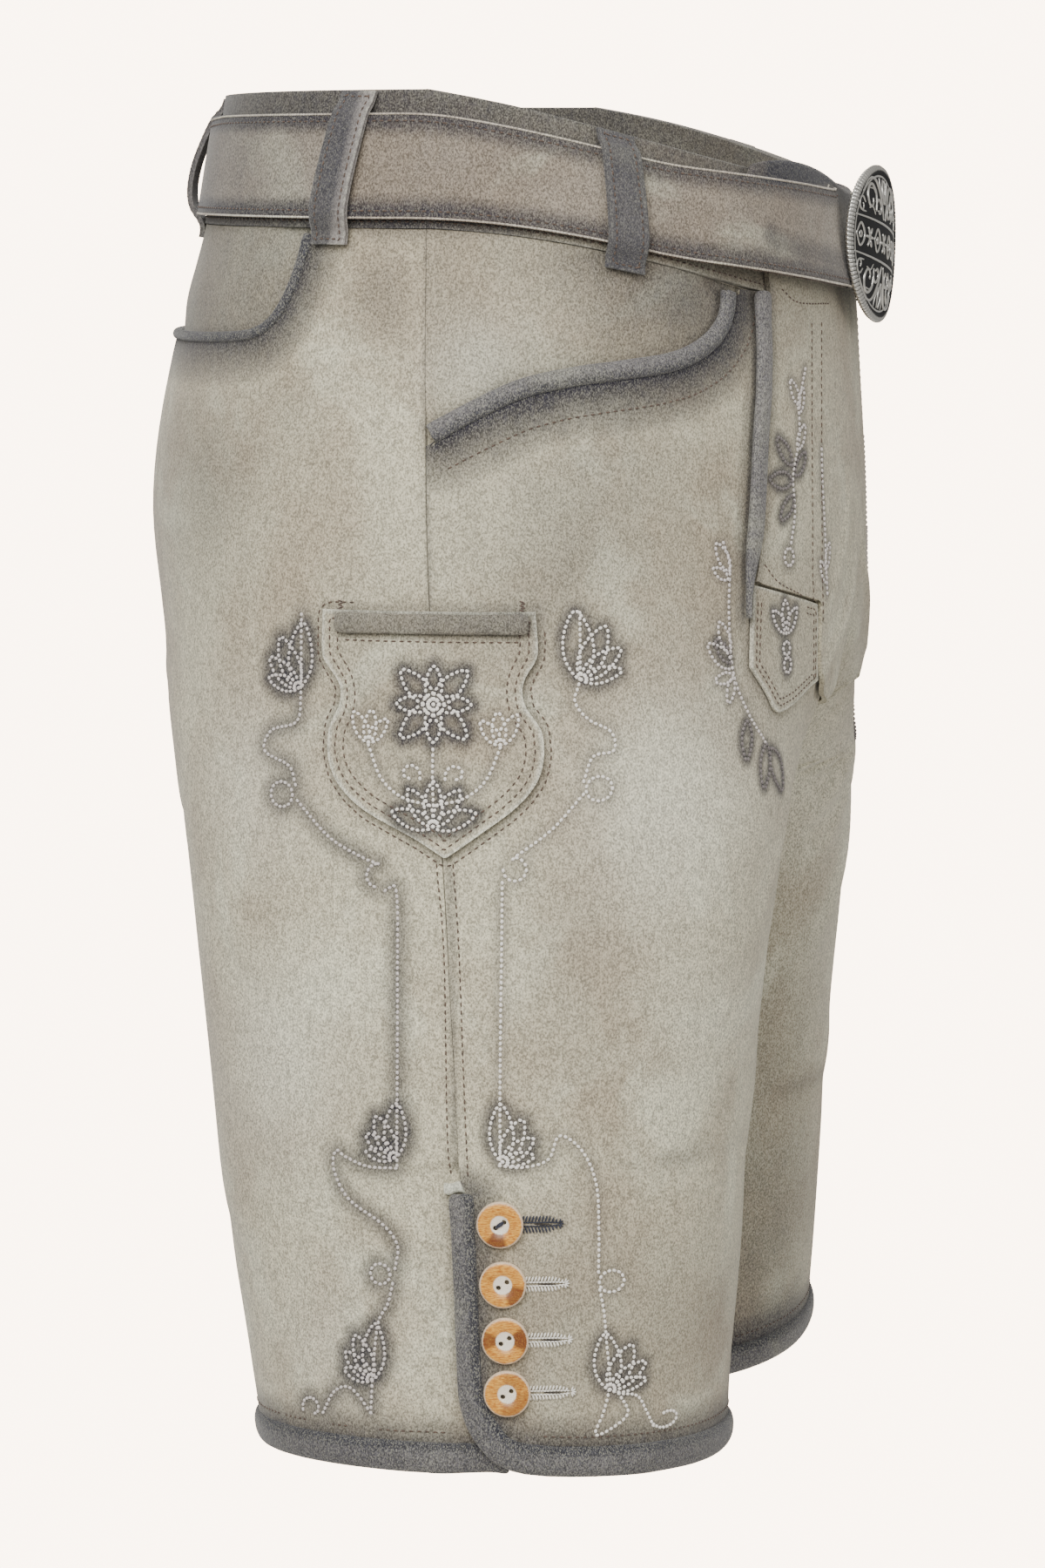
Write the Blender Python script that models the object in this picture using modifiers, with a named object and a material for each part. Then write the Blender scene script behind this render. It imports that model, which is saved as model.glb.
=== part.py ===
"""Short leather breeches (lederhosen) with drop-front flap, belt and oval buckle.

The garment stands filled out, as it does when worn.  +X is the wearer's
front, -Y the wearer's right, +Z up.  The origin is the middle of the waist
opening at the height of the waistband's upper edge at the sides.
Every cloth piece is a wall laid on one shared form: a table of rings from
the waist edge to the hem.  Sizes are in millimetres and turned into metres
when a mesh is made.
"""
import math

import bpy
import numpy as np
from mathutils import Vector
from mathutils.bvhtree import BVHTree

# ---------------------------------------------------------------- named sizes
MM = 0.001
WALL = 2.0            # suede panel
BAND_WALL = 3.0       # doubled waistband
BAND_RISE = 0.8       # waistband stands this far outside the panels
SEAM = 0.3            # clearance between neighbouring pieces
REST = 0.55           # clearance under a piece that lies on a curved panel
ROUND = 2.2           # squareness of the rings, 2 is an ellipse

BELT_WIDTH = 38.0
BELT_WALL = 3.2
BELT_DROP = 10.0      # belt's upper edge below the waist edge
LOOP_WIDTH = 13.4
LOOP_WALL = 2.3
BUCKLE_WIDE, BUCKLE_TALL = 86.0, 63.0
BUCKLE_BEND = 330.0   # radius it is bent to
BUCKLE_TURN = 4.3     # degrees it is turned towards the wearer's right
BUCKLE_TILT = 8.0     # degrees its left end hangs lower
BUCKLE_LEAN = 0.6     # degrees its top leans forward
BUCKLE_STAND = 5.3    # its middle stands this far off the strap

PIPING_WIDE, PIPING_THICK = 7.5, 4.2
BACK_PIPING_WIDE, BACK_PIPING_THICK = 4.2, 3.8
FLAP_ROLL_WIDE, FLAP_ROLL_THICK = 9.0, 4.4
SLIT_ROLL_WIDE = 9.5
HEM_ROLL_WIDE = 12.0
LEG_ROLL_THICK = 5.0
LEG_ROLL_LIFT = 0.25
UNDERLAP_DEPTH = 2.9  # the back panel runs this far under the front at the slit
UNDERLAP_REACH = 28.0

BUTTON_DIA, BUTTON_THICK = 18.0, 2.8
HOLE_DIA, HOLE_PITCH = 1.9, 4.6

# Rings of the right half, one row a level.  z_* heights at the side seam, the
# front edge and the back edge; x_seam side seam; x_front, x_back the reach;
# y_out half width; y_mid leg axis; y_in inner leg; turn_* how far the ring has
# turned at its inner edge (90 centre line, 180 inseam); x_fork inseam; ease 0
# drops along the ring as a sine, 1 as a soft step.
RING_COLUMNS = ("z_side z_front z_back x_seam x_front x_back y_out y_mid "
                "y_in turn_f turn_b x_fork ease").split()
RINGS = (
    (0, -34.5, 0, -7, 119, -119, 163, 0, 0.15, 90, 90, -7, 0),
    (-52, -84, -50, -6, 127, -128, 169, 0, 0.15, 90, 90, -7, 0.7),
    (-105, -125, -103, -5, 130, -143, 176, 0, 0.15, 90, 90, -7, 0.3),
    (-165, -168, -158, -3, 132, -152, 183, 0, 0.15, 90, 90, -7, 0.6),
    (-212, -208, -203, 0, 130, -145, 188, 12, 0.15, 97, 95, -7, 0.8),
    (-244, -243, -240, 2, 124, -135, 190, 50, 0.15, 124, 120, -7, 1),
    (-273, -274, -275, 4, 120, -124, 192, 84, 0.15, 154, 150, -7, 1),
    (-300, -292, -298, 6, 118, -117, 194, 98, 0.6, 180, 180, -6, 1),
    (-346, -346, -350, 9, 112, -111, 196, 102, 5, 180, 180, -3, 1),
    (-410, -418, -420, 13, 106, -104, 198, 104, 8, 180, 180, 0, 1),
    (-470, -484, -484, 16, 102, -95, 199, 105, 11, 180, 180, 2, 1),
    (-524, -541, -541, 18, 98, -85, 200, 106, 13, 180, 180, 4, 1),
)
BAND_FOOT = 1.0       # level of the waistband's lower edge
SLIT_TOP = 9.0        # level where the leg slit begins
HEM = 11.0            # level of the hem's lower edge

# Mouth of the front pocket, side seam to waistband: x, z seen from the side.
FRONT_POCKET = ((-4, -130), (12, -121), (31, -112), (50, -107.5), (68, -105),
                (84, -102), (94, -95.5), (99, -86), (99.5, -74))
# Mouth of the back pocket, waistband to centre back: x, z.
BACK_POCKET = ((-54.5, -54), (-58, -66), (-63, -78), (-70, -87.5),
               (-80, -92.5), (-97, -94), (-117, -94.5))
# Front flap: level, fraction of the way from side seam to centre front of its
# edge.  It narrows under the corner patches to a tongue down to the fork.
FLAP_EDGE = ((0.40, 0.575), (1.0, 0.573), (1.5, 0.573), (1.9, 0.565),
             (2.3, 0.549), (2.7, 0.538), (3.3, 0.524), (3.45, 0.53),
             (3.68, 0.70), (3.75, 0.752), (4.3, 0.757), (4.6, 0.766),
             (4.85, 0.82), (5.0, 0.90))
FLAP_FOOT = 3.45      # level where its slanting foot begins
FLAP_ROLL_END = 3.72
# Corner patch under the flap's slit end: fraction, level.
PATCH_TOP = ((0.5465, 3.500), (0.7475, 3.775))
PATCH_FOOT = ((0.530, 4.31), (0.600, 4.90), (0.7615, 4.62))
# Knife pocket on the right leg: z, left x, right x.
SHIELD = ((-196, -42.5, 38), (-206, -42.5, 39), (-213, -42.5, 39),
          (-218, -39, 36), (-224, -35, 34), (-232, -35.5, 35.5),
          (-239, -39.5, 41), (-249, -40.5, 42.2), (-258, -38, 40.5),
          (-265, -32.5, 36), (-271, -25, 30), (-277, -13, 22),
          (-281.5, -4, 16), (-285, 1.6, 11.2), (-287.6, 5.9, 7.5))
SHIELD_BAND = (-35.5, 34.5, -200.2, 7.6, 2.6)   # x from, x to, z, wide, thick

BUTTON_LEVELS = (9.27, 9.65, 10.02, 10.39)
BUTTON_SET_IN = 14.6  # button centres in front of the side seam
# Belt loops: place round the ring, how far they stand off the belt, and how
# far forward their top leans
LOOPS = (("belt_loop_front_R", 0.69, 1.2, 0), ("belt_loop_side_R", 1.165, 2.4, 11),
         ("belt_loop_back_R", 1.845, 5.0, 0), ("belt_loop_back_L", 2.155, 5.0, 0),
         ("belt_loop_side_L", 2.835, 2.4, 11), ("belt_loop_front_L", 3.31, 1.2, 0))

COLOURS = {           # base colour, roughness, metallic
    "suede": ((0.37, 0.355, 0.31), 0.95, 0.0),
    "suede_dark": ((0.11, 0.11, 0.12), 0.95, 0.0),
    "belt": ((0.21, 0.195, 0.175), 0.9, 0.0),
    "horn": ((0.56, 0.30, 0.10), 0.35, 0.0),
    "pewter": ((0.16, 0.16, 0.165), 0.38, 1.0),
}

for leftover in list(bpy.data.objects):
    bpy.data.objects.remove(leftover, do_unlink=True)
garment = bpy.data.collections.new("lederhosen")
bpy.context.scene.collection.children.link(garment)


# ---------------------------------------------------------------- the form
def ring_sizes(level):
    """The row of sizes at a level, smoothly between the table's rows."""
    rows = np.array(RINGS, float)
    last = len(rows) - 1
    level = min(max(level, 0.0), float(last))
    i = min(int(level), last - 1)
    u = level - i
    before, a, b = rows[max(i - 1, 0)], rows[i], rows[i + 1]
    after = rows[min(i + 2, last)]
    slope_a = b - a if i == 0 else (b - before) / 2
    slope_b = b - a if i + 1 == last else (after - a) / 2
    row = (((2 * u - 3) * u * u + 1) * a + ((u - 2) * u + 1) * u * slope_a
           + (3 - 2 * u) * u * u * b + (u - 1) * u * u * slope_b)
    row[RING_COLUMNS.index("y_in")] = max(row[RING_COLUMNS.index("y_in")], 0.2)
    return dict(zip(RING_COLUMNS, row))


def half_ring(level, back, count=97):
    """Points of one ring from the side seam to its inner edge, right half."""
    q = ring_sizes(level)
    power = 2 / ROUND
    turn = min(max(q["turn_b" if back else "turn_f"], 90.0), 180.0)
    reach = q["x_back" if back else "x_front"]
    z_end = q["z_back" if back else "z_front"]
    angle = np.radians(np.linspace(0, turn, 721))
    sine = np.clip(np.sin(angle), 0, 1) ** power
    cosine = np.abs(np.cos(angle)) ** power
    outer = angle <= math.pi / 2 + 1e-9
    root = np.where(outer, q["x_seam"], q["x_fork"])
    mid = max(q["y_mid"], q["y_in"])
    inner = 0.0
    if turn > 90.5:
        inner = (mid - q["y_in"]) / abs(math.cos(math.radians(turn))) ** power
    x = root + (reach - root) * sine
    y = np.where(outer, mid + (q["y_out"] - mid) * cosine,
                 mid - inner * cosine)
    part = angle / math.radians(turn)
    drop = ((1 - q["ease"]) * np.sin(part * math.pi / 2) ** 1.15
            + q["ease"] * (1 - np.cos(math.pi * part)) / 2)
    points = np.stack([x, -y, q["z_side"] + (z_end - q["z_side"]) * drop], 1)
    run = np.r_[0, np.cumsum(np.linalg.norm(np.diff(points, axis=0), axis=1))]
    even = np.linspace(0, run[-1], count)
    return np.stack([np.interp(even, run, points[:, k]) for k in range(3)], 1)


STEPS_A_LEVEL = 12
LEVELS = np.linspace(0, HEM, int(HEM) * STEPS_A_LEVEL + 1)
FORM = {back: np.array([half_ring(lv, back) for lv in LEVELS])
        for back in (False, True)}
SPAN = {back: np.array([np.linalg.norm(np.diff(row, axis=0), axis=1).sum()
                        for row in FORM[back]]) for back in (False, True)}


def raw_point(t, level, back):
    grid = FORM[back]
    rows, cols = grid.shape[:2]
    r = min(max(level * STEPS_A_LEVEL, 0.0), rows - 1.000001)
    c = min(max(t * (cols - 1), 0.0), cols - 1.000001)
    i, j = int(r), int(c)
    u, v = r - i, c - j
    return ((grid[i, j] * (1 - v) + grid[i, j + 1] * v) * (1 - u)
            + (grid[i + 1, j] * (1 - v) + grid[i + 1, j + 1] * v) * u)


def span(level, back=False):
    """Length of a half ring at a level."""
    return float(np.interp(level, LEVELS, SPAN[back]))


def point(t, level, back=False, lift=0.0):
    """A place on the right half, lifted off the form by so many mm.

    t runs from the side seam (0) to the inner edge (1); a negative t lies
    beyond the side seam, on the other panel.
    """
    if t < 0:
        return point(-t * span(level, back) / span(level, not back),
                     level, not back, lift)
    p = raw_point(t, level, back)
    if not lift:
        return p
    return p + lift * facing_out(t, level, back)


def facing_out(t, level, back=False):
    dt, dl = 0.012, 0.05
    t0, t1 = max(t - dt, 0.0), min(t + dt, 1.0)
    l0, l1 = max(level - dl, 0.0), min(level + dl, HEM)
    across = raw_point(t1, level, back) - raw_point(t0, level, back)
    if t < dt:        # both panels share one tangent at the side seam
        across = (raw_point(dt, level, False) - raw_point(dt, level, True))
        across = -across if back else across
    down = raw_point(t, l1, back) - raw_point(t, l0, back)
    n = np.cross(across, down)
    n = n if back else -n
    if t > 1 - dt and ring_sizes(level)["turn_f"] < 91:
        n[1] = 0.0
    return n / np.linalg.norm(n)


def seek(axis, a, z, back=False, t=0.3, level=3.0):
    """Fraction and level of the place whose x (or y) and z are given."""
    for _ in range(30):
        p = raw_point(t, level, back)
        pt = raw_point(min(t + 0.01, 1), level, back)
        pl = raw_point(t, min(level + 0.05, HEM), back)
        m = np.array([[(pt[axis] - p[axis]) / 0.01, (pl[axis] - p[axis]) / 0.05],
                      [(pt[2] - p[2]) / 0.01, (pl[2] - p[2]) / 0.05]])
        e = np.array([a - p[axis], z - p[2]])
        step = np.linalg.lstsq(m, e, rcond=None)[0]
        t = min(max(t + float(np.clip(step[0], -0.1, 0.1)), 0.0), 0.985)
        level = min(max(level + float(np.clip(step[1], -1, 1)), 0.0), HEM)
        if abs(e).max() < 0.01:
            break
    return t, level


def side_place(x, z):
    """Panel, fraction and level of a place seen from the side."""
    _, level = seek(0, 8.0, z, False, 0.05, 4.0)
    back = x < ring_sizes(level)["x_seam"]
    t, level = seek(0, x, z, back, 0.15, level)
    return back, t, level


def round_the_waist(s, level, lift=0.0):
    """A place on the whole ring: s 0 centre front, 1 right side, 2 centre
    back, 3 left side, 4 centre front again.  A negative level lies above
    the waist edge."""
    s = s % 4.0
    if level < 0:
        top, low = (round_the_waist(s, lv, lift) for lv in (0.0, 0.2))
        return top + (top - low) * (-level / 0.2)
    if s <= 2:
        back = s > 1
        p = point(s - 1 if back else 1 - s, level, back, lift)
        return p
    back = s < 3
    p = point(3 - s if back else s - 3, level, back, lift)
    return p * np.array((1, -1, 1))


def smooth(a, b, x):
    u = min(max((x - a) / (b - a), 0.0), 1.0)
    return u * u * (3 - 2 * u)


def along(points, count, ends=0.0):
    """Evenly spaced points on a soft curve through the given ones."""
    p = np.array(points, float)
    fine = []
    for i in range(len(p) - 1):
        a, b = p[max(i - 1, 0)], p[min(i + 2, len(p) - 1)]
        for u in np.linspace(0, 1, 12, endpoint=False):
            m0, m1 = (p[i + 1] - a) / 2, (b - p[i]) / 2
            fine.append(((2 * u - 3) * u * u + 1) * p[i]
                        + ((u - 2) * u + 1) * u * m0
                        + (3 - 2 * u) * u * u * p[i + 1]
                        + (u - 1) * u * u * m1)
    fine.append(p[-1])
    fine = np.array(fine)
    run = np.r_[0, np.cumsum(np.linalg.norm(np.diff(fine, axis=0), axis=1))]
    even = np.linspace(ends, run[-1] - ends, count)
    return np.stack([np.interp(even, run, fine[:, k])
                     for k in range(p.shape[1])], 1)


def beside(points, distance):
    """The same flat curve moved to its right-hand side."""
    p = np.array(points, float)
    d = np.gradient(p, axis=0)
    d /= np.linalg.norm(d, axis=1)[:, None]
    return p + distance * np.stack([d[:, 1], -d[:, 0]], 1)


def past_mouth(curve, x, z):
    """Distance from a pocket mouth seen from the side, positive under the
    panel and negative on the open facing."""
    gap = np.hypot(curve[:, 0] - x, curve[:, 1] - z)
    i = int(np.argmin(gap))
    way = curve[min(i + 1, len(curve) - 1)] - curve[max(i - 1, 0)]
    off = np.array((x, z)) - curve[i]
    return float(gap[i]) * (1 if way[0] * off[1] - way[1] * off[0] < 0 else -1)


def spaced(count, edge=0.012):
    """Column fractions with a narrow first and last cell at the seams."""
    return np.r_[0, np.linspace(edge, 1 - edge, count - 1), 1]


# ---------------------------------------------------------------- makers
def material(slot):
    if slot in bpy.data.materials:
        return bpy.data.materials[slot]
    colour, rough, metal = COLOURS[slot]
    made = bpy.data.materials.new(slot)
    made.use_nodes = True
    shader = made.node_tree.nodes["Principled BSDF"]
    shader.inputs["Base Color"].default_value = (*colour, 1)
    shader.inputs["Roughness"].default_value = rough
    shader.inputs["Metallic"].default_value = metal
    return made


def add_object(name, verts, faces, slot, mirror=False):
    """One named object; mirror makes its twin for the wearer's left."""
    verts = np.array(verts, float) * MM
    if mirror:
        verts = verts * np.array((1, -1, 1))
        faces = [tuple(reversed(f)) for f in faces]
    mesh = bpy.data.meshes.new(name)
    mesh.from_pydata([tuple(v) for v in verts], [], faces)
    mesh.validate()
    mesh.shade_smooth()
    made = bpy.data.objects.new(name, mesh)
    own = material(slot).copy()
    own.name = slot + "_" + name
    mesh.materials.append(own)
    garment.objects.link(made)
    return made


def sheet(name, rows, slot, wall=WALL, mirror=False, flip=False):
    """A cloth wall: a grid of outer points, thickened inward."""
    rows = np.array(rows, float)
    r, c = rows.shape[:2]
    faces = []
    for i in range(r - 1):
        for j in range(c - 1):
            a = i * c + j
            quad = (a, a + 1, a + c + 1, a + c)
            faces.append(tuple(reversed(quad)) if flip else quad)
    made = add_object(name, rows.reshape(-1, 3), faces, slot, mirror)
    thick = made.modifiers.new("wall", "SOLIDIFY")
    thick.thickness = wall * MM
    thick.offset = -1
    thick.use_even_offset = False
    return made


def loft(name, sections, slot, mirror=False):
    """A closed body through a row of closed sections, capped at its ends."""
    sections = np.array(sections, float)
    n, m = sections.shape[:2]
    faces = []
    for i in range(n - 1):
        for j in range(m):
            k = (j + 1) % m
            faces.append((i * m + j, i * m + k, (i + 1) * m + k,
                          (i + 1) * m + j))
    faces.append(tuple(reversed(range(m))))
    faces.append(tuple((n - 1) * m + j for j in range(m)))
    v = sections.reshape(-1, 3)
    made = add_object(name, v, faces, slot, mirror)
    # turn every face outward once the body is closed
    volume = 0.0
    for f in faces:
        for k in range(1, len(f) - 1):
            volume += np.dot(v[f[0]], np.cross(v[f[k]], v[f[k + 1]]))
    if volume < 0:
        made.data.flip_normals()
    return made


def roll(name, places, wide, thick, lift, slot, mirror=False, sides=8,
         taper=None):
    """A padded edge roll swept over the form.

    places holds (back, fraction, level, lift) along its middle.
    """
    centres, outs = [], []
    for back, t, level, up in places:
        centres.append(point(t, level, back, lift + up))
        outs.append(facing_out(abs(t), level, back if t >= 0 else not back))
    centres, outs = np.array(centres), np.array(outs)
    ways = np.gradient(centres, axis=0)
    sections = []
    for i, (p, n, w) in enumerate(zip(centres, outs, ways)):
        w = w / np.linalg.norm(w)
        n = n - w * np.dot(n, w)
        n /= np.linalg.norm(n)
        b = np.cross(w, n)
        k = taper[i] if taper is not None else 1.0
        ring = []
        for j in range(sides):
            a = 2 * math.pi * (j + 0.5) / sides
            ring.append(p + b * math.cos(a) * wide / 2 * k
                        + n * math.sin(a) * thick / 2 * max(k, 0.6))
        sections.append(ring)
    return loft(name, sections, slot, mirror)


# ---------------------------------------------------------------- panels
ROLL_GAP = PIPING_WIDE / 2 + SEAM
front_mouth = along(FRONT_POCKET, 40)
back_mouth = along(BACK_POCKET, 32)


def places_from_side(curve):
    return np.array([seek(0, x, z, back_curve, 0.3, 1.8)
                     for back_curve, x, z in curve])


def top_edge(curve, back, gap, end_level, count):
    """Upper edge of a panel: under the pocket roll and along the band."""
    cut = beside(curve, gap) if not back else beside(curve, gap)
    places = [seek(0, x, z, back, 0.3, 1.6) for x, z in cut]
    return np.array(places)


def front_top(count):
    cut = beside(front_mouth, ROLL_GAP)
    places = [seek(0, x, z, False, 0.3, 1.8) for x, z in cut]
    places = [p for p in places if p[1] > BAND_FOOT + 0.03]
    places[0] = (0.0006, places[0][1])
    foot = BAND_FOOT + SEAM / 52
    t_last = places[-1][0]
    places += [(t_last + 0.002, foot)]
    places += [(t, foot) for t in np.linspace(t_last + 0.05, 0.9994, 8)]
    return place_run(places, count)


def place_run(places, count):
    """Evenly spaced fractions and levels, measured over the cloth."""
    places = np.array(places)
    scale = np.array((230.0, 52.0))
    run = np.r_[0, np.cumsum(np.linalg.norm(np.diff(places * scale, axis=0),
                                            axis=1))]
    even = spaced(count) * run[-1]
    return np.stack([np.interp(even, run, places[:, k]) for k in (0, 1)], 1)


def back_top(count):
    foot = BAND_FOOT + SEAM / 52
    gap = BACK_PIPING_WIDE / 2 + 1.2
    cut = beside(back_mouth[::-1], gap)[::-1]
    cut = [(x, z) for x, z in cut]
    places = [seek(0, x, z, True, 0.3, 1.6) for x, z in cut]
    places = [p for p in places if p[1] > BAND_FOOT + 0.05]
    t_first = places[0][0]
    level = places[-1][1]
    head = [(t, foot) for t in np.linspace(0.0006, t_first - 0.004, 4)]
    tail = [(t, level) for t in np.linspace(places[-1][0] + 0.05, 0.9994, 8)]
    return place_run(head + places + tail, count)


PANEL_COLUMNS = 17
HEM_EDGE = HEM - (HEM_ROLL_WIDE + SEAM) / 56
FRONT_ROWS = np.array((0, .012, .06, .12, .19, .26, .32, .37, .415, .46, .51,
                       .57, .64, .71, .78, .830, .845, .89, .94, .988, 1.0))


def front_panel(mirror):
    top = front_top(PANEL_COLUMNS)
    cols = spaced(PANEL_COLUMNS)
    slit_t = (SLIT_ROLL_WIDE / 2 + 0.5) / 300
    corner = along(((slit_t, 10.28), (slit_t + 0.006, 10.47),
                    (0.041, 10.63), (0.070, HEM_EDGE - 0.05),
                    (0.11, HEM_EDGE), (0.2, HEM_EDGE)), 24)
    foot = place_run(list(map(tuple, corner))
                     + [(t, HEM_EDGE) for t in np.linspace(0.25, 0.9994, 8)],
                     PANEL_COLUMNS)
    rows = []
    for b in FRONT_ROWS:
        line = []
        for a in range(PANEL_COLUMNS + 0):
            even = 0.0006 + 0.9988 * cols[a]
            low = smooth(0.72, 1.0, b)
            high = 1 - smooth(0.0, 0.35, b)
            t = high * top[a][0] + (1 - high) * (
                (1 - low) * even + low * foot[a][0])
            level = top[a][1] + (foot[a][1] - top[a][1]) * b
            if b > 0.835:
                t = slit_t if a == 0 else max(t, slit_t + 0.008)
            line.append(point(t, level, False))
        rows.append(line)
    return sheet("front_panel_L" if mirror else "front_panel_R", rows,
                 "suede", mirror=mirror, flip=True)


BACK_ROWS = np.array((0, .012, .07, .14, .21, .28, .34, .39, .44, .49, .54,
                      .60, .67, .74, .800, .812, .823, .87, .93, .988, 1.0))


def back_panel(mirror):
    top = back_top(PANEL_COLUMNS)
    cols = spaced(PANEL_COLUMNS)
    rows = []
    for b in BACK_ROWS:
        line = []
        for a in range(PANEL_COLUMNS):
            even = 0.0006 + 0.9988 * cols[a]
            level = top[a][1] + (HEM_EDGE - top[a][1]) * b
            high = 1 - smooth(0.0, 0.35, b)
            t = high * top[a][0] + (1 - high) * even
            sunk = 0.0
            if b > 0.805:
                if b > 0.815:
                    t -= (UNDERLAP_REACH / 300) * (1 - cols[a]) ** 5
                sunk = -UNDERLAP_DEPTH * (1 - smooth(5.0, 26.0, t * 300))
            line.append(point(t, level, True, sunk))
        rows.append(line)
    return sheet("back_panel_L" if mirror else "back_panel_R", rows,
                 "suede", mirror=mirror)


# ---------------------------------------------------------------- pockets
FACING_DEPTH = WALL + 0.45


def front_facing(mirror):
    curve = beside(front_mouth, 9.0)
    low = np.array([seek(0, x, z, False, 0.3, 1.8) for x, z in curve])
    low[0][0] = 0.0006
    low = low[np.r_[0:len(low) - 2]]
    low = np.array([(t, max(lv, BAND_FOOT + 0.12)) for t, lv in low])
    low = place_run(list(map(tuple, low)), 11)
    foot = BAND_FOOT + SEAM / 52
    rows = []
    for b in (0, .03, .25, .45, .62, .78, .9, 1.0):
        line = []
        for a, (t1, l1) in enumerate(low):
            t0 = 0.0006 + (low[-1][0] - 0.0006) * spaced(11)[a]
            t = t0 + (t1 - t0) * b
            level = foot + (l1 - foot) * b
            # dip under the front panel near the pocket mouth
            here = point(t, level, False)
            dip = smooth(-14.0, -3.5, past_mouth(front_mouth, here[0], here[2]))
            line.append(point(t, level, False, -FACING_DEPTH * dip))
        rows.append(line)
    return sheet("front_pocket_facing_" + ("L" if mirror else "R"), rows,
                 "suede", mirror=mirror, flip=True)


def back_facing(mirror):
    curve = beside(back_mouth[::-1], 7.0)[::-1]
    low = [seek(0, x, z, True, 0.3, 1.6) for x, z in curve]
    low = [(t, max(lv, BAND_FOOT + 0.12)) for t, lv in low]
    level = low[-1][1]
    mouth_level = seek(0, *back_mouth[-1], True, 0.6, 1.8)[1]
    low += [(t, level) for t in np.linspace(low[-1][0] + 0.06, 0.9994, 6)]
    low = place_run(low, 10)
    foot = BAND_FOOT + SEAM / 52
    rows = []
    for b in (0, .04, .35, .6, .82, 1.0):
        line = []
        for a, (t1, l1) in enumerate(low):
            t0 = low[0][0] + (0.9994 - low[0][0]) * spaced(10)[a]
            t = t0 + (t1 - t0) * b
            level = foot + (l1 - foot) * b
            here = point(t, level, True)
            past = past_mouth(back_mouth[::-1], here[0], here[2])
            if here[0] < -110:     # the mouth runs level to the centre back
                past = (level - mouth_level) * 50
            edge = smooth(-10.0, -2.5, past)
            line.append(point(t, level, True, -FACING_DEPTH * edge))
        rows.append(line)
    return sheet("back_pocket_facing_" + ("L" if mirror else "R"), rows,
                 "suede", mirror=mirror)


def pocket_pipings(mirror):
    tag = "L" if mirror else "R"
    run = along(front_mouth, 20, 2.8)
    places = [(False, *seek(0, x, z, False, 0.3, 1.8), 0.0) for x, z in run]
    places = [p for p in places if p[2] > BAND_FOOT + 0.02]
    roll("front_pocket_piping_" + tag, places, PIPING_WIDE, PIPING_THICK,
         0.35, "suede_dark", mirror)
    run = along(back_mouth, 15, 0.8)
    places = [(True, *seek(0, x, z, True, 0.3, 1.6), 0.0) for x, z in run]
    places = [p for p in places if p[2] > BAND_FOOT + 0.04]
    level = places[-1][2]
    for t in np.linspace(places[-1][1] + 0.07, 0.995, 6):
        places.append((True, t, level, 0.0))
    roll("back_pocket_piping_" + tag, places, BACK_PIPING_WIDE,
         BACK_PIPING_THICK, 0.0, "suede_dark", mirror, sides=6)


# ---------------------------------------------------------------- waist
def waistband():
    rows = []
    stops = []
    for k in range(4):
        stops += [k + u for u in (spaced(11)[:-1] if k < 3 else spaced(11))]
    stops[0], stops[-1] = 0.0013, 3.9987
    for level in (0.0, 0.05, 0.5, 0.95, BAND_FOOT - 0.001):
        rows.append([round_the_waist(s, level, BAND_RISE) for s in stops])
    return sheet("waistband", rows, "suede", wall=BAND_WALL)


FLAP_LIFT = REST + WALL


def flap_edge(level):
    table = np.array(FLAP_EDGE)
    return float(np.interp(level, table[:, 0], table[:, 1]))


def roll_share(level):
    """Width of the flap's edge roll as a share; it thins to a point."""
    return 1 - 0.82 * smooth(3.0, FLAP_ROLL_END + 0.06, level)


def flap():
    rows = []
    across = np.r_[-1, -0.98, np.linspace(-0.86, 0.86, 11), 0.98, 1]
    for level in (.42, .50, .9, 1.1, 1.6, 2.1, 2.7, 3.15, FLAP_FOOT, 3.53,
                  3.61, 3.68, 3.75, 3.95, 4.2, 4.4, 4.65, 4.85, 5.0):
        cut = flap_edge(level)
        if level < FLAP_FOOT + 0.01:
            cut += (FLAP_ROLL_WIDE * roll_share(level) + 2 * SEAM) / 230
        rise = BAND_RISE * (1 - smooth(0.95, 1.35, level))
        rise += 0.8 * smooth(3.3, 3.9, level) + 0.5 * smooth(4.0, 5.0, level)
        line = []
        for c in across:
            t = 1 - abs(c) * (1 - cut)
            p = point(t, level, False, FLAP_LIFT + rise)
            line.append(p if c <= 0 else p * np.array((1, -1, 1)))
        rows.append(line)
    return sheet("flap", rows, "suede", flip=True)


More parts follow.
